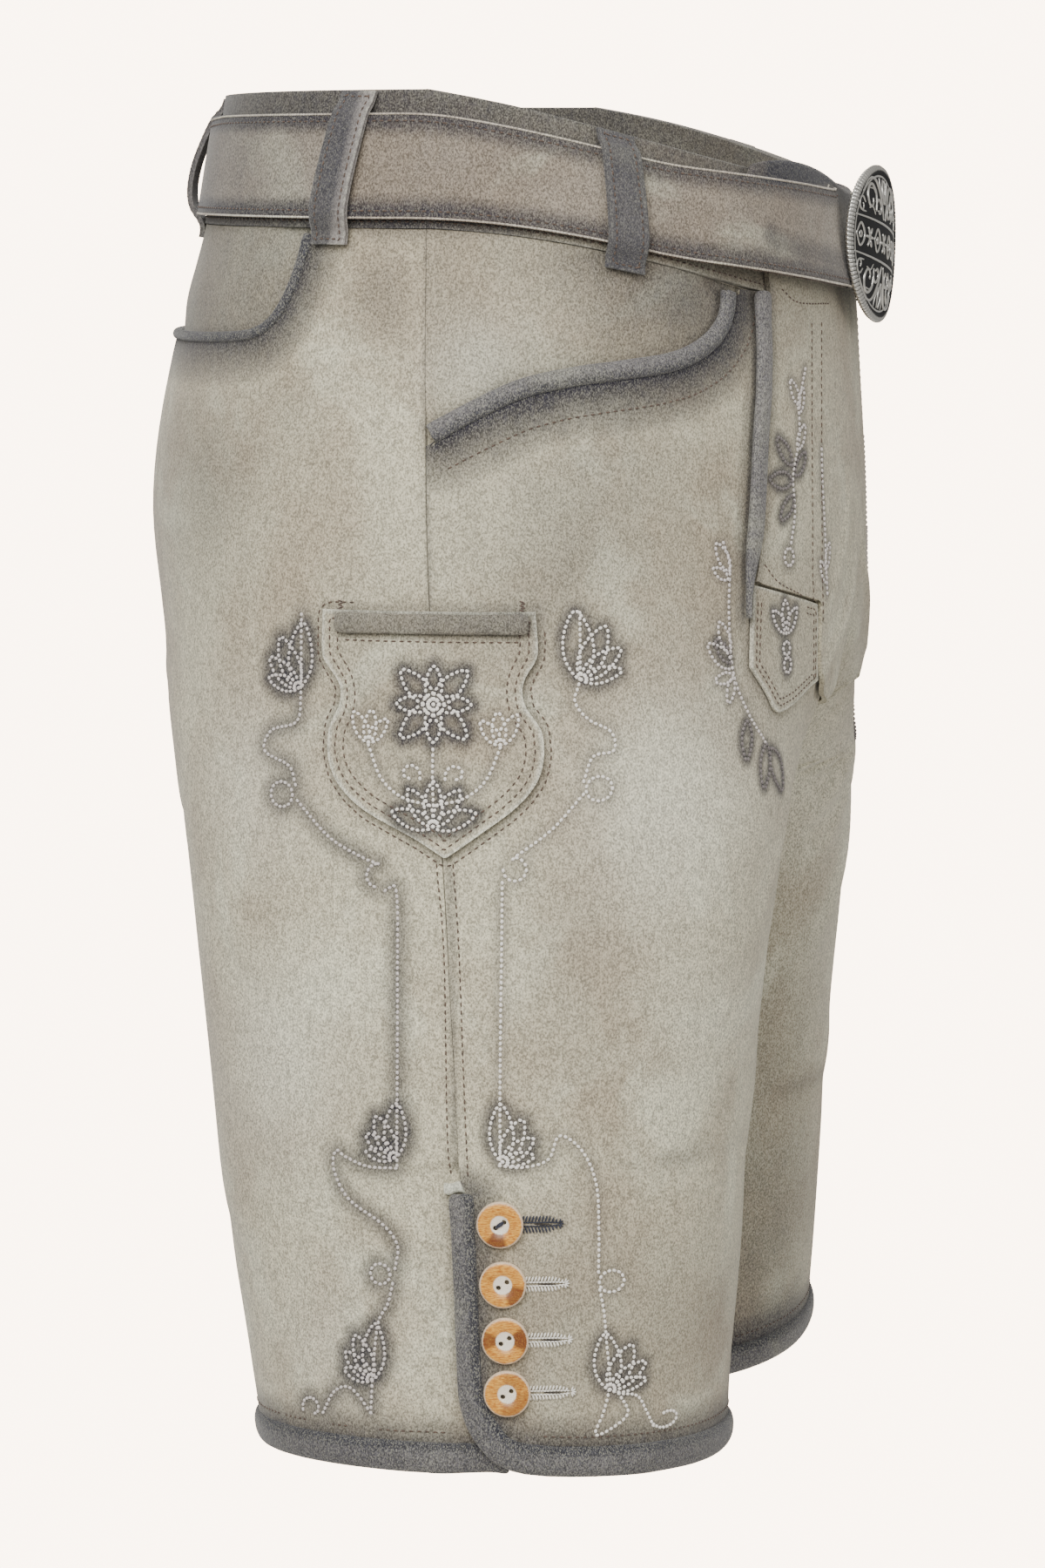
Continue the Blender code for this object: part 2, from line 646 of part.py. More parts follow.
def flap_trim(mirror):
    tag = "L" if mirror else "R"
    stops = np.linspace(1.04, FLAP_ROLL_END + 0.06, 17)
    places, taper = [], []
    for level in stops:
        shrink = roll_share(level)
        t = flap_edge(min(level, 3.3)) + FLAP_ROLL_WIDE / 460 * shrink
        rise = BAND_RISE * (1 - smooth(0.95, 1.35, level))
        places.append((False, t, level, rise))
        taper.append(shrink)
    roll("flap_binding_" + tag, places, FLAP_ROLL_WIDE, FLAP_ROLL_THICK,
         REST + FLAP_ROLL_THICK / 2, "suede_dark", mirror, taper=taper)
    # corner patch: five-sided, its tip toward the hem
    (tl, ll), (tr, lr) = PATCH_TOP
    (bl, bll), (bt, btl), (br, brl) = PATCH_FOOT
    foot = along(((bl, bll), ((bl + bt) / 2, (bll + btl) / 2), (bt, btl),
                  ((bt + br) / 2, (btl + brl) / 2), (br, brl)), 9)
    rows = []
    for b in (0, .06, .3, .55, .8, .95, 1.0):
        line = []
        for a in range(9):
            u = a / 8
            top = np.array((tl + (tr - tl) * u, ll + (lr - ll) * u))
            q = top + (foot[a] - top) * b
            line.append(point(q[0], q[1], False, REST + 1.6))
        rows.append(line)
    sheet("flap_corner_" + tag, rows, "suede", wall=1.6, mirror=mirror,
          flip=True)


# ---------------------------------------------------------------- legs
def leg_bindings(mirror):
    tag = "L" if mirror else "R"
    mid = HEM - HEM_ROLL_WIDE / 2 / 56
    curve = along(((0.0, SLIT_TOP + 0.11), (0.0, 9.6), (0.0, 10.15),
                   (0.003, 10.45), (0.020, 10.68), (0.052, 10.83),
                   (0.095, mid), (0.20, mid)), 15)
    places = [(False, t, lv, 0.0) for t, lv in curve]
    places += [(False, t, mid, 0.0) for t in np.linspace(0.26, 0.9994, 14)]
    sections_wide = [SLIT_ROLL_WIDE + (HEM_ROLL_WIDE - SLIT_ROLL_WIDE)
                     * smooth(10.2, 10.85, p[2]) for p in places]
    taper = [w / HEM_ROLL_WIDE for w in sections_wide]
    roll("leg_binding_front_" + tag, places, HEM_ROLL_WIDE, LEG_ROLL_THICK,
         LEG_ROLL_LIFT, "suede_dark", mirror, taper=[max(k, 0.79)
                                                     for k in taper])
    places = []
    for t in np.r_[-0.045, -0.03, -0.012, 0.005, 0.025, 0.05,
                   np.linspace(0.11, 0.9994, 15)]:
        sunk = -6.4 * (1 - smooth(-0.03, 0.055, t))
        places.append((True, t, mid, sunk))
    roll("leg_binding_back_" + tag, places, HEM_ROLL_WIDE, LEG_ROLL_THICK,
         LEG_ROLL_LIFT, "suede_dark", mirror)


def rest_on(tree, p, n, lift):
    """Move a place out until it lies this far off the cloth below it."""
    start = Vector((p + n * 20) * MM)
    hit = tree.ray_cast(start, Vector(-n))[0]
    if hit is None or np.linalg.norm(np.array(hit) / MM - p) > 1.2:
        return p + n * lift
    return np.array(hit) / MM + n * lift


def knife_pocket(panels):
    bodies = []
    verts, faces = [], []
    depsgraph = bpy.context.evaluated_depsgraph_get()
    for piece in panels:
        ev = piece.evaluated_get(depsgraph)
        m = ev.to_mesh()
        base = len(verts)
        verts += [v.co.copy() for v in m.vertices]
        faces += [tuple(base + i for i in f.vertices) for f in m.polygons]
        ev.to_mesh_clear()
        bodies.append(piece)
    tree = BVHTree.FromPolygons(verts, faces)
    rows = []
    table = np.array(SHIELD, float)
    for z, left, right in table:
        tip = 0.5 * smooth(-270, -285, z)
        line = []
        for u in np.r_[0, 0.04, np.linspace(0.18, 0.82, 7), 0.96, 1]:
            x = left + (right - left) * u
            back, t, level = side_place(x, z)
            n = facing_out(t, level, back)
            p = point(t, level, back)
            line.append(rest_on(tree, p, n, REST + 1.8 + tip))
        rows.append(line)
    sheet("knife_pocket", rows, "suede", wall=1.8, flip=True)
    x0, x1, z, wide, thick = SHIELD_BAND
    places = []
    for x in np.linspace(x0, x1, 9):
        back, t, level = side_place(x, z)
        places.append((back, t, level, 0.0))
    roll("knife_pocket_band", places, wide, thick,
         REST + 1.8 + 0.65 + thick / 2, "suede_dark")


def buttons(mirror):
    tag = "L" if mirror else "R"
    for i, level in enumerate(BUTTON_LEVELS):
        t = BUTTON_SET_IN / span(level)
        n = facing_out(t, level)
        centre = point(t, level, False, REST)
        side = np.cross(n, (0, 0, 1.0))
        side /= np.linalg.norm(side)
        up = np.cross(side, n)
        sections = []
        r = BUTTON_DIA / 2
        for rad, h in ((r * .88, 0), (r, 0.9), (r * .98, 2.0),
                       (r * .86, BUTTON_THICK), (r * .58, BUTTON_THICK - 0.1),
                       (r * .44, BUTTON_THICK - 0.7)):
            sections.append([centre + n * h + rad * (
                side * math.cos(a) + up * math.sin(a))
                for a in np.linspace(0, 2 * math.pi, 16, endpoint=False)])
        made = loft("button_%s%d" % (tag, i + 1), sections, "horn", mirror)
        lean = math.radians(35)
        for k in (-1, 1):
            off = HOLE_PITCH / 2 * k
            at = centre + side * off * math.cos(lean) \
                + up * off * math.sin(lean) + n * (BUTTON_THICK / 2)
            if mirror:
                at = at * np.array((1, -1, 1))
                axis = n * np.array((1, -1, 1))
            else:
                axis = n
            bpy.ops.mesh.primitive_cylinder_add(
                vertices=6, radius=HOLE_DIA / 2 * MM, depth=8 * MM,
                location=tuple(at * MM),
                rotation=Vector(axis).to_track_quat("Z", "Y").to_euler())
            tool = bpy.context.object
            tool.name = "cut_%s_%d_%d" % (tag, i, k)
            for held in list(tool.users_collection):
                held.objects.unlink(tool)
            cutters.objects.link(tool)
            tool.hide_render = True
            tool.display_type = "WIRE"
            cut = made.modifiers.new("hole", "BOOLEAN")
            cut.operation = "DIFFERENCE"
            cut.solver = "EXACT"
            cut.object = tool


# ---------------------------------------------------------------- belt
TAIL_END = 0.44       # the tail's tip, round from centre front
FRONT_RISE = 4.2      # the belt rides up this much in front
TAIL_RISE = 9.5       # and its free end this much more


def strap_lift(s):
    """Distance of the strap's inner face from the form, s along the strap."""
    base = BAND_RISE + 0.7
    over_flap = FLAP_LIFT + 0.8
    here = s % 4.0
    bump = 1 - smooth(0.46, 0.62, here) if here < 2 else smooth(3.38, 3.54,
                                                               here)
    lift = base + over_flap * bump
    if s < 2:         # the buckle end lies over the tail
        lift += (BELT_WALL + 0.55) * (1 - smooth(TAIL_END + 0.04,
                                                 TAIL_END + 0.20, s))
    return lift


def belt():
    top = BELT_DROP / 52
    foot = (BELT_DROP + BELT_WIDTH) / 52
    stops = np.r_[np.linspace(0.13, 3.6, 45), np.linspace(3.68, 4.40, 10),
                  4.415, 4.43, 4 + TAIL_END]
    sections = []
    for s in stops:
        lift = strap_lift(s)
        up, down = top, foot
        rise = 0.0
        near = s % 4.0
        near = min(near, 4.0 - near)
        rise = -FRONT_RISE / 52 * (1 - smooth(0.25, 0.62, near))
        if s > 3.7:   # the tail rides high behind the buckle end
            rise -= TAIL_RISE / 52 * smooth(3.9, 4.25, s)
        tip = s - 4.36
        if tip > 0:   # rounded tip
            k = math.sqrt(max(1 - (tip / (TAIL_END - 0.36 + 0.004)) ** 2, 0.02))
            mid = (up + down) / 2
            up, down = mid - (mid - up) * k, mid + (down - mid) * k
        up, down = up + rise, down + rise
        ring = []
        for level, out in ((up, 0.25), (up, 0.75), (up + 0.03, 1.0),
                           (down - 0.03, 1.0), (down, 0.75), (down, 0.25),
                           (down - 0.03, 0.0), (up + 0.03, 0.0)):
            ring.append(round_the_waist(s, level, lift + out * BELT_WALL))
        sections.append(ring)
    return loft("belt_strap", sections, "belt")


def belt_loops():
    inner = BAND_RISE + SEAM + 0.25
    for name, s, stand, lean in LOOPS:
        lean *= 1 if s > 2 else -1
        outer = strap_lift(s) + BELT_WALL + 0.5
        half = LOOP_WALL / 2
        path = ((1.0, inner + half), (4.5, inner + half + 0.3),
                (7.0, inner + half + 2.2), (10.0, outer + half),
                (18.0, outer + half + stand * 0.5),
                (30.0, outer + half + stand), (41.0, outer + half + stand),
                (48.5, outer + half + stand * 0.45),
                (51.5, inner + half + 2.6), (54.0, inner + half + 0.7),
                (58.5, inner + half + 0.1))
        line = along(path, 15)
        turn = np.gradient(line, axis=0)
        sections = []
        for (down, out), way in zip(line, turn):
            way = way / np.linalg.norm(way)
            # across the strip's thickness, in the plane of depth and height
            thick = np.array((-way[1], way[0])) * half
            ring = []
            for k, edge in ((1, -1), (1, 1), (-1, 1), (-1, -1)):
                d, o = down + thick[0] * k, out + thick[1] * k
                reach = (LOOP_WIDTH / 2 * edge + lean * (1 - d / 58)) / 230
                level = d / 52
                lift = o
                if level < 0:
                    level = 0.0
                ring.append(round_the_waist(s + reach, level, lift))
            sections.append(ring)
        loft(name, sections, "suede_dark")


def buckle():
    """Oval plate: flat back, raised rim, low dome; bent to the body."""
    rings = ((0.96, 0.0), (1.0, 0.6), (1.0, 2.2), (0.97, 3.0),
             (0.91, 3.0), (0.87, 2.3), (0.70, 3.1), (0.35, 4.2))
    level = (BELT_DROP + BELT_WIDTH / 2 - FRONT_RISE) / 52
    out = strap_lift(0.13) + BELT_WALL + BUCKLE_STAND
    centre = round_the_waist(0.0, level) + np.array((out, 0, 0))
    turn, tilt, lean = (math.radians(v) for v in
                        (BUCKLE_TURN, BUCKLE_TILT, BUCKLE_LEAN))
    level_way = np.array((math.sin(turn), math.cos(turn), 0))
    ahead = np.array((math.cos(turn), -math.sin(turn), 0))
    ahead = ahead * math.cos(lean) - np.array((0, 0, math.sin(lean)))
    rise = np.cross(ahead, level_way)
    side = level_way * math.cos(tilt) - rise * math.sin(tilt)
    up = level_way * math.sin(tilt) + rise * math.cos(tilt)
    sections = []
    for k, h in rings:
        ring = []
        for a in np.linspace(0, 2 * math.pi, 32, endpoint=False):
            y = BUCKLE_WIDE / 2 * k * math.cos(a)
            v = BUCKLE_TALL / 2 * k * math.sin(a)
            bend = y * y / (2 * BUCKLE_BEND)
            ring.append(centre + ahead * (h - bend) + side * y + up * v)
        sections.append(ring)
    return loft("buckle_plate", sections, "pewter")


def back_welt():
    """Raised seam down the centre back, below the pocket mouths."""
    sections = []
    for level in np.linspace(1.93, 2.95, 9):
        p = point(1.0, level, True)
        n = facing_out(1.0, level, True)
        n[1] = 0
        n /= np.linalg.norm(n)
        k = 1 - 0.45 * smooth(2.5, 2.95, level)
        ring = []
        for y, h in ((-4.0, 0.0), (-3.2, 1.2), (0, 1.7), (3.2, 1.2),
                     (4.0, 0.0), (0, 0.0)):
            q = p + n * (REST + h * k)
            q[1] = y * k
            ring.append(q)
        sections.append(ring)
    return loft("back_seam_welt", sections, "suede_dark")


cutters = bpy.data.collections.new("cutters")
bpy.context.scene.collection.children.link(cutters)

fronts, backs = [], []
for twin in (False, True):
    fronts.append(front_panel(twin))
    backs.append(back_panel(twin))
    front_facing(twin)
    back_facing(twin)
    pocket_pipings(twin)
    flap_trim(twin)
    leg_bindings(twin)
    buttons(twin)
waistband()
flap()
back_welt()
knife_pocket((fronts[0], backs[0]))
belt()
belt_loops()
buckle()
bpy.context.view_layer.update()
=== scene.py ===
# %% [markdown]
# # Short leather breeches in brushed suede
# The frame that is loaded here holds every cut piece at its real size: four
# panels, waistband, drop front, pockets, bindings, belt, buckle and buttons.
# This lesson gives each piece its surface: soft thin walls, folds, thread,
# smoky edges, turned horn and cast pewter.

# %% Load the fixed frame
import math

import bmesh
import bpy
import numpy as np
from mathutils import Matrix, Vector
from mathutils.bvhtree import BVHTree
from mathutils.kdtree import KDTree


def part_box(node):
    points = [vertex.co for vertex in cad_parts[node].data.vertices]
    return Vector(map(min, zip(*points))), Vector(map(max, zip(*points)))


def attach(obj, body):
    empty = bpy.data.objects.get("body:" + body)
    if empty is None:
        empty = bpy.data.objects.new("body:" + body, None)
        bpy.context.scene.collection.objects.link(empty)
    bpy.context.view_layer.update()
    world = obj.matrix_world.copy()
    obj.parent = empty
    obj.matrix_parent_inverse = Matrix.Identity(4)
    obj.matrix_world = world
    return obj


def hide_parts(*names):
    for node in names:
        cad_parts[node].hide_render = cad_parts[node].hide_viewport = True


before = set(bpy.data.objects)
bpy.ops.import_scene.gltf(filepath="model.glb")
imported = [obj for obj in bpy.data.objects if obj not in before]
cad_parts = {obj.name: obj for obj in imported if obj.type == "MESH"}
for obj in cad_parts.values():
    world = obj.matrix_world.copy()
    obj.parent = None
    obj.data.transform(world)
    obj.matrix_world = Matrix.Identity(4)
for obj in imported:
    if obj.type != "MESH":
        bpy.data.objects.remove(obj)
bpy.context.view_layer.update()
MM = 0.001
AIM = Vector((-5, 0, -282)) * MM  # the middle of the garment
print("nodes:", len(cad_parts))

# %% [markdown]
# ## Short helpers
# A few functions save repeating the same calls in every cell below.


# %% Short helpers
def linked(name, data):
    """A new object in the scene."""
    made = bpy.data.objects.new(name, data)
    bpy.context.scene.collection.objects.link(made)
    return made


def mesh_of(bm, name):
    """The finished bmesh as a mesh."""
    mesh = bpy.data.meshes.new(name)
    bm.to_mesh(mesh)
    bm.free()
    return mesh


def as_shown(ob):
    """The object with its modifiers worked out."""
    return ob.evaluated_get(bpy.context.evaluated_depsgraph_get())


def spoke(degrees):
    a = math.radians(degrees)
    return math.cos(a), math.sin(a)


def look_back(ob, turn, rise, far):
    """Set an object at a turn and a rise, far off, looking at the middle."""
    (c, s), (level, high) = spoke(turn), spoke(rise)
    way = Vector((s * level, -c * level, high))
    ob.location = AIM + way * far
    ob.rotation_mode = "QUATERNION"
    ob.rotation_quaternion = way.to_track_quat("Z", "Y")


# %% [markdown]
# ## Camera
# The garment is seen from the wearer's right, turned a little to the front
# and from slightly above.  A long lens keeps the two leg ends nearly parallel.

# %% Camera
camera = linked("camera", bpy.data.cameras.new("camera"))
camera.data.sensor_width, camera.data.lens = 36, 113.2
look_back(camera, 12, 6.6, 2.05)
bpy.context.scene.camera = camera
print("camera at", [round(v, 3) for v in camera.location])

# %% [markdown]
# ## Studio
# Plain pale surroundings and very soft light: a bright even sky for the
# fill, one broad lamp in front of the garment and above it, and two weaker
# ones at the wearer's front and behind.  The breeches are worn, so the floor
# lies a leg's length below.

# %% Studio
FLOOR, FLOOR_R = -1.04, 1.05
FILL, BACKDROP = (1.0, 0.985, 0.955, 1.0), (1.0, 0.81, 0.64, 1.0)
LAMPS = (  # name, turn, rise, distance, size, watts
    ("key", -4, 34, 2.2, 1.6, 58), ("front", 64, 20, 2.3, 1.2, 12),
    ("behind", 200, 42, 2.4, 1.6, 16))
world = bpy.data.worlds.new("studio")
bpy.context.scene.world = world
world.use_nodes = True
sky_nodes = world.node_tree.nodes
sky = sky_nodes["Background"]
seen, path, pick = (sky_nodes.new("ShaderNode" + kind) for kind in
                    ("Background", "LightPath", "MixShader"))
for node, tint, strength in (sky, FILL, 0.52), (seen, BACKDROP, 9.6):
    node.inputs["Color"].default_value = tint
    node.inputs["Strength"].default_value = strength
for source, socket in zip(
        (path.outputs["Is Camera Ray"], sky.outputs[0], seen.outputs[0],
         pick.outputs[0]),
        (*pick.inputs[:3], sky_nodes["World Output"].inputs[0])):
    world.node_tree.links.new(source, socket)
for name, turn, rise, far, size, watts in LAMPS:
    lamp = bpy.data.lights.new(name, "AREA")
    lamp.shape, lamp.size, lamp.energy = "DISK", size, watts
    lamp.color = (1.0, 0.985, 0.96)
    look_back(linked(name, lamp), turn, rise, far)
bm = bmesh.new()
bmesh.ops.create_circle(bm, cap_ends=True, cap_tris=False, segments=64,
                        radius=FLOOR_R)
bmesh.ops.translate(bm, verts=bm.verts, vec=(0, 0, FLOOR))
floor = linked("floor", mesh_of(bm, "floor"))
print("lamps:", len(LAMPS))

# %% [markdown]
# ## Colours and node helpers
# All colours are written as they look on screen, 0 to 255, and turned to the
# linear values that shaders use.  Small helpers add one node each, so that a
# finish below reads like a recipe.


# %% Colour and node helpers
def colour(r, g, b):
    return (*[((c / 255 + 0.055) / 1.055) ** 2.4 for c in (r, g, b)], 1.0)


class Recipe:
    """A material whose nodes are added one line at a time."""

    def __init__(self, name):
        self.material = bpy.data.materials.new(name)
        self.material.use_nodes = True
        self.tree = self.material.node_tree
        where = self.add("TexCoord", {}).outputs
        self.place, self.uv = where["Object"], where["UV"]

    def add(self, kind, sources, **settings):
        """A node with its settings, its sockets fed by values or links."""
        node = self.tree.nodes.new("ShaderNode" + kind)
        for key, value in settings.items():
            setattr(node, key, value)
        self.feed(node, sources)
        return node

    def feed(self, node, sources):
        for socket, source in sources.items():
            if isinstance(source, (int, float, tuple)):
                node.inputs[socket].default_value = source
            else:
                self.tree.links.new(source, node.inputs[socket])

    def noise(self, scale, detail=2.0, rough=0.5, stretch=(1, 1, 1),
              place=None, twist=0.0):
        turn = self.add("Mapping", {"Vector": place or self.place,
                                    "Scale": stretch})
        return self.add("TexNoise", {
            "Vector": turn.outputs[0], "Scale": scale, "Detail": detail,
            "Roughness": rough, "Distortion": twist}).outputs["Fac"]

    def attribute(self, name):
        return self.add("Attribute", {}, attribute_name=name).outputs["Fac"]

    def math(self, kind, a, b=0.0, c=0.0, clamp=False):
        return self.add("Math", {0: a, 1: b, 2: c}, operation=kind,
                        use_clamp=clamp).outputs[0]

    def times(self, a, b):
        return self.math("MULTIPLY", a, b)

    def total(self, *shares):
        """The sum of some values, each times its share."""
        so_far = 0.0
        for value, share in shares:
            so_far = self.math("MULTIPLY_ADD", value, share, so_far)
        return so_far

    def span(self, value, low, high, to_low=0.0, to_high=1.0):
        ends = dict(enumerate((value, low, high, to_low, to_high)))
        return self.add("MapRange", ends,
                        interpolation_type="SMOOTHSTEP").outputs[0]

    def mix(self, share, a, b, kind="MIX"):
        return self.add("Mix", {0: share, 6: a, 7: b}, data_type="RGBA",
                        blend_type=kind).outputs[2]

    def tones(self, value, low, high, first, second):
        """One colour that turns to another as a value grows."""
        return self.mix(self.span(value, low, high), colour(*first),
                        colour(*second))

    def finish(self, base, rough, relief=None, **fixed):
        """The material; relief is a height with its strength and depth."""
        shader = self.tree.nodes["Principled BSDF"]
        if relief:
            fixed["Normal"] = self.add("Bump", dict(zip(
                ("Height", "Strength", "Distance"), relief))).outputs[0]
        self.feed(shader, {"Base Color": base, "Roughness": rough, **{
            socket.replace("_", " "): v for socket, v in fixed.items()}})
        return self.material


pale_floor = Recipe("pale floor")
floor.data.materials.append(pale_floor.finish(pale_floor.mix(
    pale_floor.noise(3, 2), colour(240, 236, 230), colour(245, 241, 235)),
    0.8))

# %% [markdown]
# ## Brushed suede
# The hide is one greyed olive tone with browner clouds.  It is sanded, so its
# fibres stand up and catch the light as short strokes, and smoke-coloured dye
# is sprayed along seams, rolls and embroidery.  Three painted values drive the
# finish: "dusk" is how much dye lies there, together with painted shade under
# the belt, round its loops, in thin lines beside some patches and bindings and
# inside the legs, and less where a painted highlight falls on the crests of
# the rolls and the side loops; "rub" where a cut or folded edge is worn pale,
# with some broad paler patches; and "raw" where the brown core of the strap
# shows.
# They are stored on the points of the mesh, so the dye follows the sewing
# exactly.

# %% Suede
PALE = colour(208, 206, 183)
RUBBED = colour(214, 213, 196)
RAW_EDGE = colour(118, 86, 62)


def suede(name, light=(188, 182, 159), warm=(164, 153, 132),
          smoke=(43, 42, 52), fleck=0.16, nap=0.42):
    make = Recipe(name)
    blotch = make.noise(11, 3, 0.55, twist=0.5)
    cloud = make.noise(46, 4, 0.62, stretch=(1, 1, 0.75), twist=0.7)
    stroke = make.noise(420, 3, 0.62, stretch=(1, 1, 0.6), twist=0.5)
    grain = make.noise(1300, 2, 0.6, stretch=(1, 1, 0.8))
    fibre = make.noise(2600, 1, 0.5, stretch=(1, 1, 0.5))
    tone = make.total((blotch, 0.78), (cloud, 0.22))
    base = make.tones(tone, 0.36, 0.62, warm, light)
    bright = make.span(make.noise(15, 4, 0.58, twist=0.9), 0.50, 0.70, 0, 0.6)
    base = make.mix(bright, base, PALE)
    brushed = make.span(stroke, 0.36, 0.64, 0.94, 1.06)
    base = make.mix(1.0, base, brushed, "MULTIPLY")
    dusk = make.attribute("dusk")  # its edge is ragged, as spray on nap is
    ragged = make.math("MULTIPLY_ADD", make.total((cloud, 0.4), (stroke, 0.6)),
                       1.7, -0.85)
    edge = make.times(make.math("SUBTRACT", 1.0, dusk), dusk)
    # the darkening is the sprayed dye, with the painted shade and painted
    # highlight that the dusk values carry
    darkening = make.math("MULTIPLY_ADD", ragged, make.times(edge, 2.6), dusk,
                    clamp=True)
    base = make.mix(make.times(make.attribute("rub"), 0.8), base, RUBBED)
    base = make.mix(darkening, base, colour(*smoke))
    base = make.mix(make.times(make.attribute("raw"), 0.85), base, RAW_EDGE)
    hair = make.total((stroke, 0.15), (grain, 0.55), (fibre, 0.3))
    lift = make.span(hair, 0.38, 0.62, 1 - nap, 1 + nap)
    base = make.mix(1.0, base, lift, "MULTIPLY")
    flecks = make.times(make.span(fibre, 0.52, 0.62), fleck)
    base = make.mix(make.times(flecks, darkening), base, PALE)
    return make.finish(base, 0.93, (hair, 0.6, 0.6 * MM), Sheen_Weight=0.22,
                       Sheen_Roughness=0.45, Specular_IOR_Level=0.10)


hide = suede("brushed suede")
strap_hide = suede("strap suede", (176, 166, 150), (146, 134, 118), nap=0.44)
trim_hide = suede("rolled suede", (162, 158, 153), (133, 129, 128),
                  (40, 42, 52), fleck=0.26)
loop_hide = suede("loop suede", (160, 155, 148), (132, 127, 124),
                  (44, 45, 54), fleck=0.12, nap=0.28)
print("suede finishes: 4")

# %% [markdown]
# ## Thin walls from the cut pieces
# Each cloth node is copied, its loose triangles are merged and joined to
# quads again, its cut edges get a small rounding, and a subdivision smooths
# it.  A subdivision surface shrinks away from its cage, so the cage is moved
# out by what it lost, and the skin passes through the cut piece's own points.
# Only the outer skin is then split finer, because folds and dye need points
# every few millimetres there.

# %% Cloth helpers
SHARP = 42  # degrees between two faces at a cut edge


def coords(mesh, kind="co"):
    """The places of a mesh's points, or their normals, a row for each."""
    flat = np.empty(len(mesh.vertices) * 3, np.float32)
    mesh.vertices.foreach_get(kind, flat)
    return flat.reshape(-1, 3).astype(float)


def put(mesh, places):
    mesh.vertices.foreach_set("co", places.astype(np.float32).ravel())
    mesh.update()


def merged(node):
    """A bmesh of a node with its triangles joined to quads again."""
    bm = bmesh.new()
    bm.from_mesh(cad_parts[node].data)
    bmesh.ops.remove_doubles(bm, verts=bm.verts, dist=0.002 * MM)
    bmesh.ops.join_triangles(bm, faces=bm.faces,
                             angle_face_threshold=math.radians(30),
                             angle_shape_threshold=math.radians(80))
    bm.normal_update()
    return bm


def folded(bm, angle=SHARP):
    """Edges where two faces meet at a sharp fold."""
    return [e for e in bm.edges if len(e.link_faces) == 2
            and e.calc_face_angle() > math.radians(angle)]


def new_piece(name, mesh, finish):
    """An object at the origin that rides on the garment's one body."""
    made = linked(name, mesh)
    mesh.materials.clear()
    mesh.materials.append(finish)
    mesh.shade_smooth()
    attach(made, "root")
    return made


def middle_of(node):
    """How far to the side the middle of a piece lies, 0 if it is near."""
    low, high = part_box(node)
    return (low.y + high.y) / 2 if abs(low.y + high.y) > 0.04 else 0.0


def outward(co, normal, middle):
    return normal.x * co.x + normal.y * (co.y - middle) > 0


def soften(node, name, finish, limit, edge=0.45, rounds=1):
    """The visible piece that stands for a cloth node."""
    bm = merged(node)
    if edge:
        bmesh.ops.bevel(bm, geom=folded(bm, 50), offset=edge * MM,
                        offset_type="OFFSET", segments=1, profile=0.5,
                        affect="EDGES", material=-1, clamp_overlap=True)
    mesh = mesh_of(bm, name)
    made = new_piece(name, mesh, finish)
    smooth = made.modifiers.new("smooth", "SUBSURF")
    smooth.levels = smooth.render_levels = 2
    wanted = cage = coords(mesh)
    for _ in range(rounds):
        ready = as_shown(made)
        cage = cage + wanted - coords(ready.to_mesh())[:len(wanted)]
        ready.to_mesh_clear()
        put(mesh, cage)
    ready = as_shown(made)
    fine = bmesh.new()
    fine.from_mesh(ready.to_mesh())
    ready.to_mesh_clear()
    made.modifiers.clear()
    middle = middle_of(node)
    for _ in range(2):
        fine.normal_update()
        wide = [e for e in fine.edges if e.calc_length() > limit * MM
                and all(outward(v.co, v.normal, middle) for v in e.verts)]
        if wide:
            bmesh.ops.subdivide_edges(fine, edges=wide, cuts=1,
                                      use_grid_fill=True)
    fine.to_mesh(mesh)
    fine.free()
    mesh.shade_smooth()
    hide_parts(node)
    return made


# %% Make every cloth piece
SHEETS = (  # node, longest edge on the outer skin in mm
    ("back_panel_{}", 2.9), ("front_panel_{}", 2.9),
    ("back_pocket_facing_{}", 2.9), ("front_pocket_facing_{}", 2.9),
    ("flap_corner_{}", 1.6), ("waistband", 2.4), ("flap", 2.2),
    ("knife_pocket", 1.5), ("belt_strap", 2.2))
ROLLS = ("front_pocket_piping_{}", "back_pocket_piping_{}",
         "flap_binding_{}", "leg_binding_front_{}", "leg_binding_back_{}",
         "belt_loop_front_{}", "belt_loop_side_{}", "belt_loop_back_{}",
         "knife_pocket_band", "back_seam_welt")


def sides_of(pattern):
    """Both sides for the name of a pair, one for a single piece."""
    return "RL" if "{" in pattern else "R"


def twins(pattern):
    return [pattern.format(side) for side in sides_of(pattern)]


cloth = {}
for pattern, limit in SHEETS:
    for node in twins(pattern):
        belt = node == "belt_strap"
        cloth[node] = soften(node, "suede_" + node,
                             strap_hide if belt else hide,
                             limit)
for pattern in ROLLS:
    for node in twins(pattern):
        loop = "loop" in node
        cloth[node] = soften(
            node, "rolled_" + node,
            hide if "pocket_band" in node else loop_hide if loop
            else trim_hide, 1.8, edge=0.35 if loop else 0,
            rounds=1 if loop else 2)
print("faces:", sum(len(p.data.polygons) for p in cloth.values()))

# %% [markdown]
# ## Lines on cloth
# Folds, seams and embroidery all start as a few given points that a smooth
# curve passes through.  The curve is cut into equal steps, so that stitches
# come out evenly spaced and a fold swells and fades gently.


# %% Smooth lines
def smooth_way(points, step, closed=False):
    """Places at equal steps along a rounded curve through the points."""
    p = np.asarray(points, float)
    if closed:
        p = np.vstack((p[-1], p, p[0], p[1]))
    else:
        p = np.vstack((2 * p[0] - p[1], p, 2 * p[-1] - p[-2]))
    t = np.linspace(0, 1, 12, endpoint=False)[:, None]
    runs = [0.5 * (2 * b + (c - a) * t + (2 * a - 5 * b + 4 * c - d) * t ** 2
                   + (3 * b - a - 3 * c + d) * t ** 3)
            for a, b, c, d in zip(p, p[1:], p[2:], p[3:])]
    return even(np.vstack(runs + [p[-2:-1]]), step)


